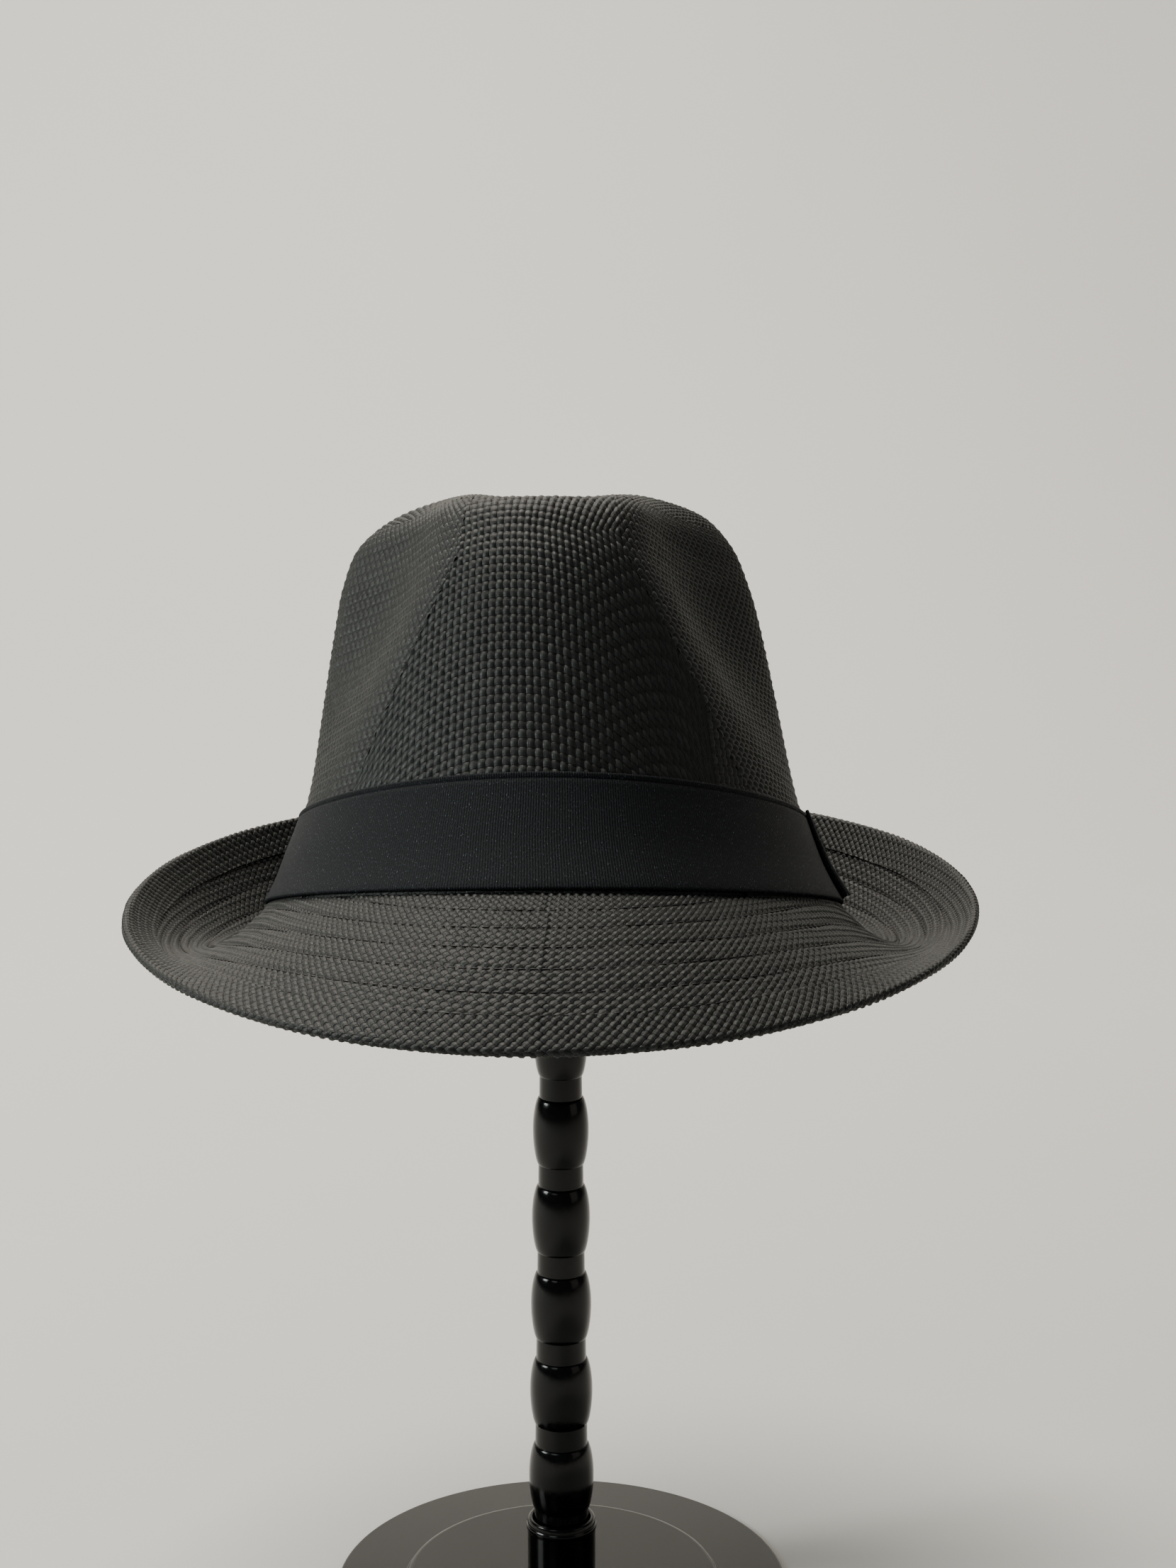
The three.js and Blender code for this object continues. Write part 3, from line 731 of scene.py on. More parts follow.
def woven_shell(name, lattice, fine, plain, split, thickness, measure, limits, side, seed, freedom,
                ways=None):
    """A closed wall of woven straw. Its outside has the relief of every strand, and its inside
    has one face to a cell. The side is 1 where the lattice's normal points outwards, else -1. The
    freedom is how much the strands wander, down to 0 where pieces meet."""
    outer, outer_faces = clipped_cloth(fine, plain, split, measure, limits)
    inner, inner_faces = clipped_cloth(NO_CELLS, np.concatenate([fine, plain]), 1, measure, limits)
    counts = np.concatenate([outer, inner])
    a, b = counts.T
    along_a = lattice(a + LATTICE_STEP, b) - lattice(a - LATTICE_STEP, b)
    along_b = lattice(a, b + LATTICE_STEP) - lattice(a, b - LATTICE_STEP)
    normal = np.cross(along_a, along_b)
    area = np.linalg.norm(normal, axis=-1)
    longest = np.maximum(np.linalg.norm(along_a, axis=-1), np.linalg.norm(along_b, axis=-1))
    height = relief(a, b, area / longest / (2 * LATTICE_STEP), seed, ways)
    offset = np.full(len(counts), -thickness)
    offset[:len(outer)] = np.where(in_cells(outer, fine), height[:len(outer)], PLAIN_HEIGHT)
    laid = lattice(*wandered(a, b, seed, freedom(a, b)))
    points = laid + normal * (side * offset / area)[:, None]
    shift = len(outer)
    faces = outer_faces + [[i + shift for i in face[::-1]] for face in inner_faces]
    wall_start = len(faces)
    for chain, pair in walls(outer, outer_faces, inner, inner_faces):
        faces.append(chain + [i + shift for i in pair])
    if side < 0:
        faces = [face[::-1] for face in faces]
    piece = new_piece(name, on_stand(points), faces)
    set_map(piece, "weave", counts)
    if ways is not None:
        set_map(piece, "rows", np.stack(ways(a, b), -1) / MM)
    crisp_rim(piece, wall_start)
    return piece


def strand_shift(count, seed):
    """How far each strand lies off its place, which changes steadily from one to the next."""
    shifts = np.random.default_rng(seed).uniform(-STRAND_SHIFT, STRAND_SHIFT, STRANDS_SHIFTED)
    at = np.clip(count - 0.5 + STRANDS_SHIFTED // 2, 0, STRANDS_SHIFTED - 2)
    low = np.floor(at).astype(int)
    return shifts[low] + (shifts[low + 1] - shifts[low]) * (at - low)


def crisp_rim(piece, wall_start):
    """Keeps the rim of a shell crisp: its walls don't share shading with its two sides."""
    mesh = piece.data
    sharp = np.zeros(len(mesh.edges), bool)
    for polygon in mesh.polygons[wall_start:]:
        for loop in polygon.loop_indices:
            sharp[mesh.loops[loop].edge_index] = True
    mesh.attributes.new("sharp_edge", "BOOLEAN", "EDGE").data.foreach_set("value", sharp)


def new_piece(name, points, faces):
    mesh = bpy.data.meshes.new(name)
    mesh.from_pydata(np.asarray(points).tolist(), [], faces)
    mesh.polygons.foreach_set("use_smooth", [True] * len(mesh.polygons))
    mesh.update()
    return add_object(name, mesh)


def set_map(piece, name, values):
    """A UV map from one pair of numbers for each vertex."""
    mesh = piece.data
    corner = np.zeros(len(mesh.loops), int)
    mesh.loops.foreach_get("vertex_index", corner)
    layer = mesh.uv_layers.new(name=name)
    layer.data.foreach_set("uv", np.asarray(values, float)[corner].astype(np.float32).ravel())


def dress(piece, material, slot, *nodes):
    piece.data.materials.append(material)
    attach(piece, "root")
    if nodes:
        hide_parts(*nodes)


def cells_in(low, high):
    """All lattice cells between two corners."""
    i, j = np.meshgrid(np.arange(low[0], high[0]), np.arange(low[1], high[1]), indexing="ij")
    return np.stack([i.ravel(), j.ravel()], -1)


def middles(cells):
    """The strand counts of the cells' middles."""
    return (cells + 0.5).T


def touching(cells, measure, limits):
    """The cells of which some corner is between the limits of a measure."""
    corners = cells[:, None] + np.array([(0, 0), (1, 0), (1, 1), (0, 1)])
    value = measure(corners[..., 0].astype(float), corners[..., 1].astype(float))
    return cells[((value > limits[0] + NEAR) & (value < limits[1] - NEAR)).any(1)]


def build_panel(name, straw, cells, panel, side, *nodes):
    surface, outside, freedom = panel
    limits = (-NO_LIMIT, 0.0)
    cells = touching(cells, outside, limits)
    hidden = surface(*middles(cells))[:, 2] < HIDDEN_UNDER
    piece = woven_shell(name, surface, cells[~hidden], cells[hidden], CROWN_SPLIT, STRAW, outside,
                        limits, side, SEEDS["crown"], freedom)
    dress(piece, straw, "straw", *nodes)


def build_crown(straw):
    reach = int((PATH[0] + DOME) / CROWN_STRANDS["across"])
    cells = cells_in((-reach, -reach), (reach, reach))
    main = crown_panel(main_cloth, 1)
    build_panel("crown_front", straw, cells[cells[:, 1] >= 0], main, -1, "crown")
    build_panel("crown_back", straw, cells[cells[:, 1] < 0], main, -1)
    for name, hand in (("crown_left", -1), ("crown_right", 1)):
        panel = crown_panel(lambda a, b: side_cloth(a, b, hand), -1)
        build_panel(name, straw, cells, panel, -hand)


def back_freedom(round_it):
    """Full everywhere but near the back of the brim, where its two ends meet."""
    return np.clip((BRIM_LENGTH / 2 - np.abs(round_it)) / BACK_CALM, 0, 1)


def one_round(round_it):
    return (round_it >= -BRIM_LENGTH / 2) & (round_it < BRIM_LENGTH / 2)


def build_brim(straw):
    limits = (-BRIM_MARGIN, NO_LIMIT)
    reach = int(BRIM_LENGTH / BRIM_STRAND)
    cells = cells_in((-reach, -reach), (reach, reach))
    round_it, from_edge = brim_ways(*middles(cells))
    in_reach = (from_edge > BRIM_CLOTH["starts"]) & (from_edge < BRIM_CLOTH["ends"])
    cells = touching(cells[one_round(round_it) & in_reach], brim_from_break, limits)
    round_it, from_edge = brim_ways(*middles(cells))
    hidden = from_edge < BRIM_CLOTH["fine_from"]
    for name, half, nodes in (("brim_left", round_it < 0, ["brim"]), ("brim_right", round_it >= 0, [])):
        piece = woven_shell(name, brim_lattice, cells[half & ~hidden], cells[half & hidden], BRIM_SPLIT,
                            BRIM_STRAW, brim_from_break, limits, 1, SEEDS["brim"],
                            lambda a, b: back_freedom(brim_ways(a, b)[0]), brim_ways)
        dress(piece, straw, "straw", *nodes)


def stitch_tree(thread):
    """Geometry nodes that lay one stitch after another along a row. A stitch is a ball of few
    faces, drawn out along the row."""
    tree = bpy.data.node_groups.new("stitched_row", "GeometryNodeTree")
    tree.interface.new_socket("Row", in_out="INPUT", socket_type="NodeSocketGeometry")
    for name in ("Pitch", "Length", "Width"):
        tree.interface.new_socket(name, in_out="INPUT", socket_type="NodeSocketFloat")
    tree.interface.new_socket("Stitches", in_out="OUTPUT", socket_type="NodeSocketGeometry")
    group = add_node(tree, "NodeGroupInput").outputs
    row = add_node(tree, "GeometryNodeMeshToCurve", {"Mesh": group["Row"]})
    places = add_node(tree, "GeometryNodeResampleCurve", {"Curve": row, "Length": group["Pitch"]},
                      mode="LENGTH")
    size = add_node(tree, "ShaderNodeCombineXYZ",
                    {"X": group["Length"], "Y": group["Width"], "Z": group["Width"]})
    ball = add_node(tree, "GeometryNodeMeshUVSphere", {"Segments": 4, "Rings": 5, "Radius": 0.5})
    along = add_node(tree, "GeometryNodeTransform", {"Geometry": ball, "Rotation": (0, math.pi / 2, 0)})
    tangent = add_node(tree, "GeometryNodeInputTangent")
    turn = add_node(tree, "FunctionNodeAlignRotationToVector", {"Vector": tangent}, axis="X")
    stitches = add_node(tree, "GeometryNodeInstanceOnPoints",
                        {"Points": places, "Instance": along, "Rotation": turn, "Scale": size})
    real = add_node(tree, "GeometryNodeRealizeInstances", {"Geometry": stitches})
    painted = add_node(tree, "GeometryNodeSetMaterial", {"Geometry": real, "Material": thread})
    smooth = add_node(tree, "GeometryNodeSetShadeSmooth", {"Geometry": painted})
    add_node(tree, "NodeGroupOutput", {0: smooth})
    return tree


def row_lines():
    """Points and edges of the sewn rows, left out where a row would run under the crown."""
    points, edges = [], []
    round_it = np.linspace(0, BRIM_LENGTH, ROW_POINTS + 1)[:-1]
    for row in [HEM_ROW, *SEWN_ROWS]:
        from_edge = np.full_like(round_it, row)
        depth = (ROW_DEPTH - THREAD_LIFT) if row in SEWN_ROWS else 0
        inside = brim_width_at(round_it) - row > ROW_CLEARANCE
        start = len(points)
        points += list(on_stand(brim_surface(round_it, from_edge) - brim_up(round_it, from_edge) * depth))
        for step in range(ROW_POINTS):
            after = (step + 1) % ROW_POINTS
            if inside[step] and inside[after]:
                edges.append((start + step, start + after))
    return [point.tolist() for point in points], edges


def build_stitches(thread):
    """The sewn rows round the brim: thread that dips into the grooves of the straw."""
    points, edges = row_lines()
    mesh = bpy.data.meshes.new("stitch_rows")
    mesh.from_pydata(points, edges, [])
    rows = add_object("stitch_rows", mesh)
    modifier = rows.modifiers.new("stitches", "NODES")
    modifier.node_group = stitch_tree(thread)
    for item in modifier.node_group.interface.items_tree:
        if item.in_out == "INPUT" and item.name.lower() in STITCH:
            modifier[item.identifier] = STITCH[item.name.lower()]
    depsgraph = bpy.context.evaluated_depsgraph_get()
    made = bpy.data.meshes.new_from_object(rows.evaluated_get(depsgraph), depsgraph=depsgraph)
    bpy.data.objects.remove(rows)
    made.materials.clear()
    made.polygons.foreach_set("material_index", [0] * len(made.polygons))
    dress(add_object("stitches", made), thread, "straw")


def build_hem(straw):
    def way(a, b):
        return hem_ways(a, b)[1]
    limits = (0, HEM_WAY)
    reach = int(HEM_LENGTH / HEM_STRAND)
    cells = cells_in((-reach, -reach), (reach, reach))
    cells = touching(cells[one_round(hem_ways(*middles(cells))[0])], way, limits)
    right = hem_ways(*middles(cells))[0] >= 0
    for name, half in (("hem_left", ~right), ("hem_right", right)):
        piece = woven_shell(name, hem_lattice, cells[half], NO_CELLS, BRIM_SPLIT, HEM_STRAW, way,
                            limits, -1, SEEDS["hem"], lambda a, b: back_freedom(hem_ways(a, b)[0]))
        dress(piece, straw, "straw")


def upper_strand(tree, weave):
    """What lies on top in the weave's map: whether it is a weft, its map turned to run along it,
    and its cell."""
    counts = add_node(tree, "ShaderNodeSeparateXYZ", {0: weave})
    a, b = counts.outputs["X"], counts.outputs["Y"]
    floor_a = add_node(tree, "ShaderNodeMath", {0: a}, operation="FLOOR")
    floor_b = add_node(tree, "ShaderNodeMath", {0: b}, operation="FLOOR")
    both = add_node(tree, "ShaderNodeMath", {0: floor_a, 1: floor_b}, operation="ADD")
    weft = add_node(tree, "ShaderNodeMath", {0: both, 1: 2.0}, operation="FLOORED_MODULO")
    straight = add_node(tree, "ShaderNodeCombineXYZ", {0: a, 1: b, 2: 0.0})
    swapped = add_node(tree, "ShaderNodeCombineXYZ", {0: b, 1: a, 2: 7.0})
    strand = add_node(tree, "ShaderNodeMix", {0: weft, VECTOR_A: straight, VECTOR_B: swapped},
                      data_type="VECTOR")
    cell = add_node(tree, "ShaderNodeCombineXYZ", {0: floor_a, 1: floor_b})
    return weft, strand.outputs[MIXED_VECTOR], cell


def float_top(tree, strand):
    """1 on top of a float, 0 at its sides and low at its ends."""
    local = add_node(tree, "ShaderNodeVectorMath", {0: strand}, operation="FRACTION")
    centred = add_node(tree, "ShaderNodeVectorMath", {0: local, 1: (0.5, 0.5, 0.5)}, operation="SUBTRACT")
    off = add_node(tree, "ShaderNodeSeparateXYZ", {0: centred}).outputs
    shares = []
    for way, start, least in ((off["X"], 0.34, 0.0), (off["Y"], 0.38, 0.35)):
        distance = add_node(tree, "ShaderNodeMath", {0: way}, operation="ABSOLUTE")
        ramp = {"Value": distance, "From Min": start, "From Max": 0.5, "To Min": 1.0, "To Max": least}
        shares.append(add_node(tree, "ShaderNodeMapRange", ramp, interpolation_type="SMOOTHSTEP"))
    return add_node(tree, "ShaderNodeMath", {0: shares[0], 1: shares[1]}, operation="MULTIPLY")


def row_painted_shade(tree):
    """Painted shade along the brim's sewn rows: 1 on the cloth between them, and dark on the rows
    themselves. The pieces without rows have no such map and read as cloth all over."""
    rows = add_node(tree, "ShaderNodeUVMap", uv_map="rows")
    from_edge = add_node(tree, "ShaderNodeSeparateXYZ", {0: rows}).outputs["Y"]
    row, half = ROWS["first"] - ROWS["apart"], ROWS["apart"] / 2
    wrapped = add_node(tree, "ShaderNodeMath", {0: from_edge, 1: row + half, 2: row - half},
                       operation="WRAP")
    from_row = add_node(tree, "ShaderNodeMath", {0: wrapped, 1: row}, operation="SUBTRACT")
    distance = add_node(tree, "ShaderNodeMath", {0: from_row}, operation="ABSOLUTE")
    ramp = {"Value": distance, "From Min": 0.3, "From Max": 0.9, "To Min": 0.15, "To Max": 1.0}
    return add_node(tree, "ShaderNodeMapRange", ramp, interpolation_type="SMOOTHSTEP")


def straw_material():
    """Black paper straw, twisted flat and plain woven: nine narrow fibres along each strand of about
    2 mm, a dull gloss on top of every float, painted shade that darkens the wefts and the brim's sewn
    rows, and painted shade that turns the gaps where the strands dive near black. Its map counts
    strands, and the map of the sewn rows is in millimetres."""
    material, tree = new_material("woven_paper_straw")
    weft, strand, cell = upper_strand(tree, add_node(tree, "ShaderNodeUVMap", uv_map="weave"))
    top = float_top(tree, strand)
    stretched = add_node(tree, "ShaderNodeMapping", {"Vector": strand, "Scale": (9.0, 0.8, 1.0)})
    noise = {"Vector": stretched, "Scale": 1.0, "Detail": 2.0, "Roughness": 0.6}
    fibres = add_node(tree, "ShaderNodeTexNoise", noise).outputs["Fac"]
    # Painted shade: wefts are drawn 55 % darker than warps, as shade on the lower strand.
    weft_painted_shade = add_node(tree, "ShaderNodeMath", {0: weft, 1: -0.55, 2: 1.0}, operation="MULTIPLY_ADD")
    # Painted shade: the brim's sewn rows are drawn darker, down to 15 % in their grooves.
    lit = add_node(tree, "ShaderNodeMath", {0: row_painted_shade(tree), 1: weft_painted_shade}, operation="MULTIPLY")
    # Painted shade: the sides of the floats and the gaps where strands dive go to near black.
    float_painted_shade = add_node(tree, "ShaderNodeMath", {0: lit, 1: top}, operation="MULTIPLY")
    ribs = add_node(tree, "ShaderNodeMath", {0: fibres, 1: 0.5, 2: top}, operation="MULTIPLY_ADD")
    bump = add_node(tree, "ShaderNodeBump", {"Strength": 0.6, "Distance": 0.25 * MM, "Height": ribs})
    chance = add_node(tree, "ShaderNodeTexWhiteNoise", {"Vector": cell})
    tone = add_node(tree, "ShaderNodeMix",
                    {0: chance.outputs["Value"], COLOUR_A: linear("101413"), COLOUR_B: linear("232825")},
                    data_type="RGBA")
    # Painted shade: near black 020202 where the float, row and weft shade masks are low.
    colour = add_node(tree, "ShaderNodeMix",
                      {0: float_painted_shade, COLOUR_A: linear("020202"), COLOUR_B: tone.outputs[MIXED_COLOUR]},
                      data_type="RGBA")
    rough = add_node(tree, "ShaderNodeMapRange",
                     {"Value": fibres, "From Min": 0.25, "From Max": 0.75, "To Min": 0.4, "To Max": 0.62})
    set_shader(tree, {"Base Color": colour.outputs[MIXED_COLOUR], "Roughness": rough, "Normal": bump,
                      "IOR": 1.5, "Specular IOR Level": 0.4})
    return material


def ribbon_material():
    """Blue-black ribbon: upright ribs 0.8 mm apart, a soft sheen where it turns away, and here and
    there a painted glint about 0.3 mm wide, pale in colour and less rough. Its map is in millimetres."""
    material, tree = new_material("black_ribbon")
    flat = add_node(tree, "ShaderNodeUVMap", uv_map="ribbon")
    wave = add_node(tree, "ShaderNodeTexWave",
                    {"Vector": flat, "Scale": 0.4, "Distortion": 1.2, "Detail": 2.0, "Detail Scale": 2.0},
                    wave_type="BANDS", bands_direction="X")
    slanted = add_node(tree, "ShaderNodeMapping",
                       {"Vector": flat, "Rotation": (0, 0, 0.5), "Scale": (3.4, 1.5, 1.0)})
    noise = {"Vector": slanted, "Scale": 1.0, "Detail": 2.0, "Roughness": 0.7}
    grain = add_node(tree, "ShaderNodeTexNoise", noise).outputs["Fac"]
    height = add_node(tree, "ShaderNodeMath", {0: grain, 1: 2.2, 2: wave.outputs["Fac"]},
                      operation="MULTIPLY_ADD")
    bump = add_node(tree, "ShaderNodeBump", {"Strength": 0.9, "Distance": 0.14 * MM, "Height": height})
    tone = add_node(tree, "ShaderNodeMapRange", {"Value": grain, "From Min": 0.4, "From Max": 0.66})
    cloth = add_node(tree, "ShaderNodeMix",
                     {0: tone, COLOUR_A: linear("05070a"), COLOUR_B: linear("141a21")}, data_type="RGBA")
    # Painted glint: small specks of the grain are drawn pale blue-grey 66727c, as sparkles of light.
    painted_glint = add_node(tree, "ShaderNodeMapRange", {"Value": grain, "From Min": 0.65, "From Max": 0.7})
    colour = add_node(tree, "ShaderNodeMix",
                      {0: painted_glint, COLOUR_A: cloth.outputs[MIXED_COLOUR], COLOUR_B: linear("66727c")},
                      data_type="RGBA")
    rough = add_node(tree, "ShaderNodeMapRange", {"Value": painted_glint, "To Min": 0.7, "To Max": 0.3})
    set_shader(tree, {"Base Color": colour.outputs[MIXED_COLOUR], "Roughness": rough, "Normal": bump,
                      "Specular IOR Level": 0.22})
    return material


def thread_material():
    """Black sewing thread with a slight shine. Its twist is drawn 0.4 mm long, as coarse as it
    needs to show."""
    material, tree = new_material("black_thread")
    place = add_node(tree, "ShaderNodeTexCoord").outputs["Object"]
    twist = add_node(tree, "ShaderNodeTexNoise", {"Vector": place, "Scale": 2500.0, "Detail": 1.0})
    colour = add_node(tree, "ShaderNodeMix",
                      {0: twist.outputs["Fac"], COLOUR_A: linear("030303"), COLOUR_B: linear("0d0d0d")},
                      data_type="RGBA")
    set_shader(tree, {"Base Color": colour.outputs[MIXED_COLOUR], "Roughness": 0.45})
    return material


def lacquer_material():
    """Black gloss lacquer on turned wood: a deep mirror with the faint waviness of a thick coat,
    about 11 mm from wave to wave, and specks of dust about 1.4 mm apart."""
    material, tree = new_material("black_gloss_lacquer")
    place = add_node(tree, "ShaderNodeTexCoord").outputs["Object"]
    wavy = add_node(tree, "ShaderNodeTexNoise", {"Vector": place, "Scale": 90.0, "Detail": 1.0})
    bump = add_node(tree, "ShaderNodeBump",
                    {"Strength": 0.12, "Distance": 0.15 * MM, "Height": wavy.outputs["Fac"]})
    noise = {"Vector": place, "Scale": 700.0, "Detail": 3.0, "Roughness": 0.7}
    dust = add_node(tree, "ShaderNodeTexNoise", noise).outputs["Fac"]
    rough = add_node(tree, "ShaderNodeMapRange",
                     {"Value": dust, "From Min": 0.4, "From Max": 0.8, "To Min": 0.12, "To Max": 0.26})
    tone = add_node(tree, "ShaderNodeMix",
                    {0: dust, COLOUR_A: linear("030303"), COLOUR_B: linear("080909")}, data_type="RGBA")
    set_shader(tree, {"Base Color": tone.outputs[MIXED_COLOUR], "Roughness": rough, "Normal": bump,
                      "Specular IOR Level": 0.25})
    return material


def paper_material():
    """Matt pale paper with a broad, faint mottle."""
    material, tree = new_material("pale_paper")
    place = add_node(tree, "ShaderNodeTexCoord").outputs["Object"]
    mottle = add_node(tree, "ShaderNodeTexNoise", {"Vector": place, "Scale": 3.0, "Detail": 4.0})
    colour = add_node(tree, "ShaderNodeMix",
                      {0: mottle.outputs["Fac"], COLOUR_A: linear("d9d8d4"), COLOUR_B: linear("e0dfdc")},
                      data_type="RGBA")
    set_shader(tree, {"Base Color": colour.outputs[MIXED_COLOUR], "Roughness": 0.85})
    return material


def grid_shell(name, outer, inner, wrapped, ways):
    """A closed wall between two grids of points, which may join up along their first index. The
    ways are the ribbon's own millimetres, along it and across it, for every point of the grid."""
    rows, columns = outer.shape[:2]
    last = columns - 1
    corners = []
    for k in range(rows if wrapped else rows - 1):
        for c in range(last):
            corners.append([(k, c, 0), (k + 1, c, 0), (k + 1, c + 1, 0), (k, c + 1, 0)])
            corners.append([(k, c, 1), (k, c + 1, 1), (k + 1, c + 1, 1), (k + 1, c, 1)])
        corners.append([(k, 0, 1), (k + 1, 0, 1), (k + 1, 0, 0), (k, 0, 0)])
        corners.append([(k, last, 0), (k + 1, last, 0), (k + 1, last, 1), (k, last, 1)])
    if not wrapped:
        end = rows - 1
        for c in range(last):
            corners.append([(0, c, 0), (0, c + 1, 0), (0, c + 1, 1), (0, c, 1)])
            corners.append([(end, c, 1), (end, c + 1, 1), (end, c + 1, 0), (end, c, 0)])
    corners = np.array(corners)
    index = (corners[..., 2] * rows + corners[..., 0] % rows) * columns + corners[..., 1]
    points = np.concatenate([outer.reshape(-1, 3), inner.reshape(-1, 3)])
    piece = new_piece(name, points, index.tolist())
    layer = piece.data.uv_layers.new(name="ribbon")
    layer.data.foreach_set("uv", ways[corners[..., 0], corners[..., 1]].astype(np.float32).ravel())
    face_outwards(piece)
    return piece


def face_outwards(piece):
    bm = bmesh.new()
    bm.from_mesh(piece.data)
    bmesh.ops.recalc_face_normals(bm, faces=bm.faces)
    bm.to_mesh(piece.data)
    bm.free()


def crown_offset(angle, level, distance):
    normal = normals(crown_point, angle, level, SURFACE_STEP)
    return crown_point(angle, level) + normal * distance[..., None]


def ribbon_section(foot, top, thickness):
    """Heights and thicknesses over a ribbon's section: round edges, and a rolled edge on top with
    a sewn line below it."""
    turns = np.linspace(0, math.pi / 2, FLAT_START)
    low = [(foot + ROUND_FOOT * (1 - math.cos(t)), thickness * (0.35 + 0.65 * math.sin(t))) for t in turns]
    flat = [(foot + (top - foot) * share, thickness) for share in np.linspace(0.08, 0.9, 8)]
    line = [(top - drop * MM, thickness * part) for drop, part in SEWN_LINE]
    roll = [(top - TOP_ROLL + TOP_ROLL * math.cos(t), thickness * (0.6 + 0.6 * math.sin(t)))
            for t in np.linspace(math.pi * 0.8, 0.05, 6)]
    return np.array(low + flat + line + roll)


def build_band(ribbon):
    """The ribbon round the crown, which meets its own end under the bow's knot."""
    seam = (BOW["knot_start"] + BOW["knot_end"]) / 2 * DEGREE
    angles = seam + np.linspace(0, 2 * math.pi, BAND_STEPS + 1)
    top = BAND_TOP["mean"] + BAND_TOP["twice"] * np.cos(2 * angles)
    sections = np.array([ribbon_section(BAND_FOOT, t, RIBBON) for t in top])
    heights, thickness = sections[..., 0], sections[..., 1]
    turns = np.repeat(angles[:, None], heights.shape[1], 1)
    outer = crown_offset(turns, level_at(heights), GAP + thickness)
    inner = crown_offset(turns, level_at(heights), np.full_like(heights, GAP))
    steps = np.linalg.norm(np.diff(outer[:, FLAT_START], axis=0), axis=1) / MM
    along = np.repeat(np.append(0, steps.cumsum())[:, None], heights.shape[1], 1)
    ways = np.stack([along, heights / MM], -1)
    piece = grid_shell("ribbon_band", on_stand(outer[:-1]), on_stand(inner[:-1]), True, ways)
    dress(piece, ribbon, "ribbon", "hatband")


def bow_rise(heights):
    """How far the bow stands off the ribbon, less towards its top."""
    share = heights / BOW["top"]
    return BOW_RISE["foot"] + (BOW_RISE["top"] - BOW_RISE["foot"]) * share


def build_loop(name, ribbon, knot_angle, fold_angle, node):
    """One loop of the bow: the ribbon leaves the knot close to the band, folds over at its end and
    comes back on top, gathered towards the knot."""
    thin = LOOP_RIBBON / 2
    bend = np.linspace(-math.pi / 2, math.pi / 2, LOOP["bend_steps"])
    flat = np.linspace(0, 1, LOOP["flat_steps"])
    level_rows = np.linspace(0, 1, LOOP["rows"])
    way = np.concatenate([flat, np.ones_like(bend), flat[::-1]])
    over = np.concatenate([-np.ones_like(flat), np.sin(bend), np.ones_like(flat)])
    tip = np.concatenate([np.zeros_like(flat), np.cos(bend), np.zeros_like(flat)])
    way, rows = np.meshgrid(way, level_rows, indexing="ij")
    over = np.repeat(over[:, None], len(level_rows), 1)
    tip = np.repeat(tip[:, None], len(level_rows), 1)
    gather = (1 - way) ** 2
    half = BOW_WIDTH / 2 * (1 - LOOP["gather"] * gather)
    heights = BOW_MIDDLE + half * (2 * rows - 1)
    rise = bow_rise(heights)
    centre = UNDER_BOW + rise / 2
    reach = np.maximum(rise / 2 - thin, LOOP["least_reach"])
    swell = 1 - LOOP["swell"] * (2 * way - 1) ** 2
    fold = LOOP["fold"] * gather * np.cos(LOOP["folds"] * math.pi * (2 * rows - 1))
    off = centre + np.where(over > 0, over * reach * swell, over * reach) + np.where(over > 0, fold, 0)
    sign = math.copysign(1, fold_angle - knot_angle)
    length = abs(fold_angle - knot_angle) * DEGREE - LOOP["short"] / BOW_RADIUS
    angle = knot_angle * DEGREE + sign * (length * way + tip * reach / BOW_RADIUS)
    along = (angle - knot_angle * DEGREE) * BOW_RADIUS * sign
    d_along, d_off = np.gradient(along, axis=0), np.gradient(off, axis=0)
    size = np.maximum(np.hypot(d_along, d_off), 1e-12)
    side_along, side_off = -d_off / size * thin, d_along / size * thin

    def layer(side):
        turned = knot_angle * DEGREE + sign * (along + side * side_along) / BOW_RADIUS
        return on_stand(crown_offset(turned, level_at(heights), off + side * side_off))
    steps = np.hypot(np.diff(along[:, 0]), np.diff(off[:, 0]))
    ways = np.stack([np.repeat(np.append(0, steps.cumsum())[:, None], len(level_rows), 1) / MM,
                     heights / MM], -1)
    piece = grid_shell(name, layer(-1), layer(1), False, ways)
    piece.data.set_sharp_from_angle(angle=SHARP)
    dress(piece, ribbon, "ribbon", node)


def build_knot(ribbon):
    """The narrow ribbon wrapped round the middle of the bow, with soft folds along it."""
    across, rows = np.meshgrid(np.linspace(0, 1, KNOT["across_steps"]), np.linspace(0, 1, KNOT["rows"]),
                               indexing="ij")
    heights = BOW["foot"] - KNOT_OVERHANG + (BOW_WIDTH + 2 * KNOT_OVERHANG) * rows
    angle = (BOW["knot_start"] + (BOW["knot_end"] - BOW["knot_start"]) * across) * DEGREE
    side = np.maximum(1 - (2 * across - 1) ** 4, 0) ** 0.5
    end = np.maximum(1 - (2 * rows - 1) ** 10, 0) ** 0.5
    waves = np.cos(KNOT["folds"] * math.pi * (2 * across - 1) + 0.8 * np.sin(5 * rows))
    rise = (bow_rise(heights) + BOW_RISE["knot"] - KNOT["lower"]) * side * end
    off = UNDER_BOW + KNOT["least"] + rise + KNOT["fold"] * waves * end * side
    outer = crown_offset(angle, level_at(heights), off)
    inner = crown_offset(angle, level_at(heights), np.full_like(off, UNDER_BOW))
    ways = np.stack([heights / MM, across * KNOT["width"]], -1)
    piece = grid_shell("bow_wrap", on_stand(outer), on_stand(inner), False, ways)
    dress(piece, ribbon, "ribbon", "bow_knot")


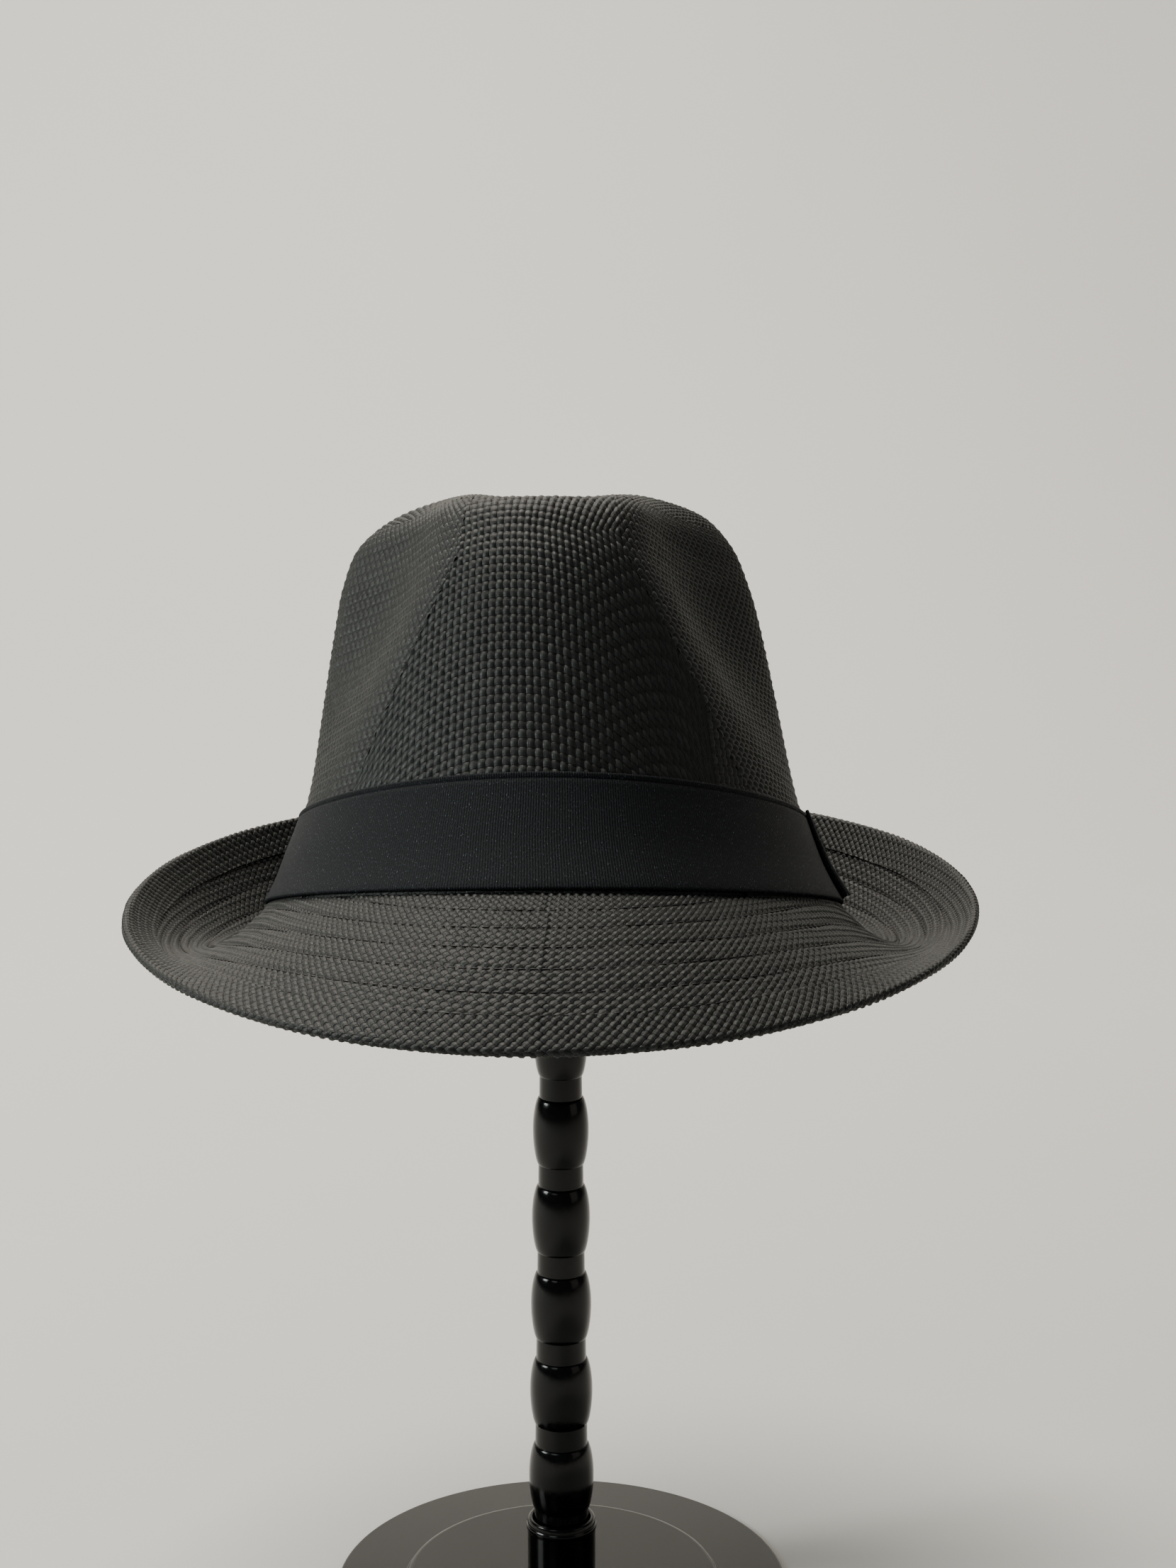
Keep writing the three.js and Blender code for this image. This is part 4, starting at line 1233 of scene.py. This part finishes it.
def lathe(name, outline, sides):
    """A solid turned about the stand's axis, whose outline starts and ends on the axis."""
    turns = np.linspace(0, 2 * math.pi, sides + 1)[:-1]
    rings = [[(r * math.cos(t), r * math.sin(t), z) for t in turns] for r, z in outline[1:-1]]
    points = [(0, 0, outline[0][1])]
    points += [point for ring in rings for point in ring] + [(0, 0, outline[-1][1])]
    faces = []
    for side in range(sides):
        after = (side + 1) % sides
        faces.append([0, 1 + after, 1 + side])
        for ring in range(len(rings) - 1):
            low, high = 1 + ring * sides, 1 + (ring + 1) * sides
            faces.append([low + side, low + after, high + after, high + side])
        last = 1 + (len(rings) - 1) * sides
        faces.append([last + side, last + after, len(points) - 1])
    piece = new_piece(name, points, faces)
    face_outwards(piece)
    piece.data.set_sharp_from_angle(angle=SHARP)
    return piece


def rounded(outline, radius):
    """An outline with each corner turned into a short curve."""
    outline = [np.array(point, float) for point in outline]
    points = [outline[0]]
    for before, corner, after in zip(outline, outline[1:], outline[2:]):
        start = corner + (before - corner) * min(radius / np.linalg.norm(before - corner), 0.5)
        end = corner + (after - corner) * min(radius / np.linalg.norm(after - corner), 0.5)
        for t in np.linspace(0, 1, CORNER_STEPS):
            points.append((1 - t) ** 2 * start + 2 * t * (1 - t) * corner + t ** 2 * end)
    return points + [outline[-1]]


def radius_at(sizes, height):
    return sizes["floor"] - sizes["taper"] * height


def column_outline(top):
    """The turned column: necks with beads between them, fuller above their middle."""
    outline = [(0, COLUMN["foot"]), (radius_at(NECK_RADIUS, COLUMN["foot"]), COLUMN["foot"])]
    for index in range(COLUMN["beads"]):
        foot = COLUMN["first_neck"] + COLUMN["neck"] + index * COLUMN["pitch"]
        for share in (1 - np.cos(np.linspace(0, math.pi, BEAD_STEPS))) / 2:
            z = foot + (COLUMN["pitch"] - COLUMN["neck"]) * share
            neck, bead = radius_at(NECK_RADIUS, z), radius_at(BEAD_RADIUS, z)
            swell = max(math.sin(math.pi * (1 - share) ** BEAD_SKEW), 0) ** BEAD_FULLNESS
            outline.append((neck + (bead - neck) * swell, z))
    return outline + [(radius_at(NECK_RADIUS, top), top), (0, top)]


def rest_outline(low, high):
    """The domed cap that carries the hat: a flared foot, a lip and a low dome."""
    rim = high - REST["dome"]
    under = [(0, low), (REST["foot"], low), (REST["flare"], rim - REST["flare_drop"]),
             (REST["lip"], rim - REST["lip_drop"]), (REST["rim"], rim)]
    dome = [(r, rim + REST["dome"] * (1 - (r / REST["rim"]) ** 2)) for r in DOME_RADII]
    return rounded(under, ROUNDED["rest"]) + dome + [(0, high)]


def build_stand(lacquer):
    column = lathe("turned_column", column_outline(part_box("column")[1].z), TURNED_SIDES)
    dress(column, lacquer, "lacquer", "column")
    socket = lathe("turned_socket", rounded(SOCKET_OUTLINE, ROUNDED["socket"]), TURNED_SIDES)
    dress(socket, lacquer, "lacquer", "socket")
    dress(lathe("base_plate", rounded(BASE_OUTLINE, ROUNDED["base"]), BASE_SIDES), lacquer, "lacquer", "base")
    low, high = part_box("hat_rest")
    dress(lathe("domed_rest", rest_outline(low.z, high.z), TURNED_SIDES), lacquer, "lacquer", "hat_rest")


def build_light(name, place, aim, size, power, colour):
    lamp = add_object(name, bpy.data.lights.new(name, "AREA"))
    lamp.data.size = size
    lamp.data.energy = power
    lamp.data.color = linear(colour)[:3]
    lamp.location = place
    lamp.rotation_euler = (Vector(aim) - Vector(place)).to_track_quat("-Z", "Y").to_euler()


def build_floor():
    """A pale floor that curves up into a wall."""
    turns = np.linspace(0, math.pi / 2, CURVE_STEPS)
    radius, curve_from = FLOOR["radius"], FLOOR["curve_from"]
    curve = [(curve_from + radius * math.sin(t), radius - radius * math.cos(t)) for t in turns]
    section = [(FLOOR["front"], 0.0), *curve, (curve_from + radius, FLOOR["top"])]
    points = [(x, y, z) for x in (-FLOOR["half_width"], FLOOR["half_width"]) for y, z in section]
    count = len(section)
    floor = new_piece("floor", points, [[k, count + k, count + k + 1, k + 1] for k in range(count - 1)])
    floor.data.materials.append(paper_material())


def build_studio():
    """The floor, a weak light from all round, a soft light from the left, weaker ones from the
    front and the right, and one for the wall."""
    build_floor()
    world = bpy.data.worlds.new("studio")
    world.use_nodes = True
    background = world.node_tree.nodes["Background"]
    background.inputs["Color"].default_value = linear("e4e8ea")
    background.inputs["Strength"].default_value = WORLD_LIGHT
    bpy.context.scene.world = world
    for name, settings in LIGHTS.items():
        build_light(name, *settings)


straw = straw_material()
ribbon = ribbon_material()
lacquer = lacquer_material()
build_crown(straw)
build_brim(straw)
build_hem(straw)
build_stitches(thread_material())
build_band(ribbon)
build_loop("bow_loop_front", ribbon, BOW["knot_start"] - KNOT_GAP, BOW["start"], "bow_front_loop")
build_loop("bow_loop_back", ribbon, BOW["knot_end"] + KNOT_GAP, BOW["end"], "bow_back_loop")
build_knot(ribbon)
build_stand(lacquer)
build_studio()
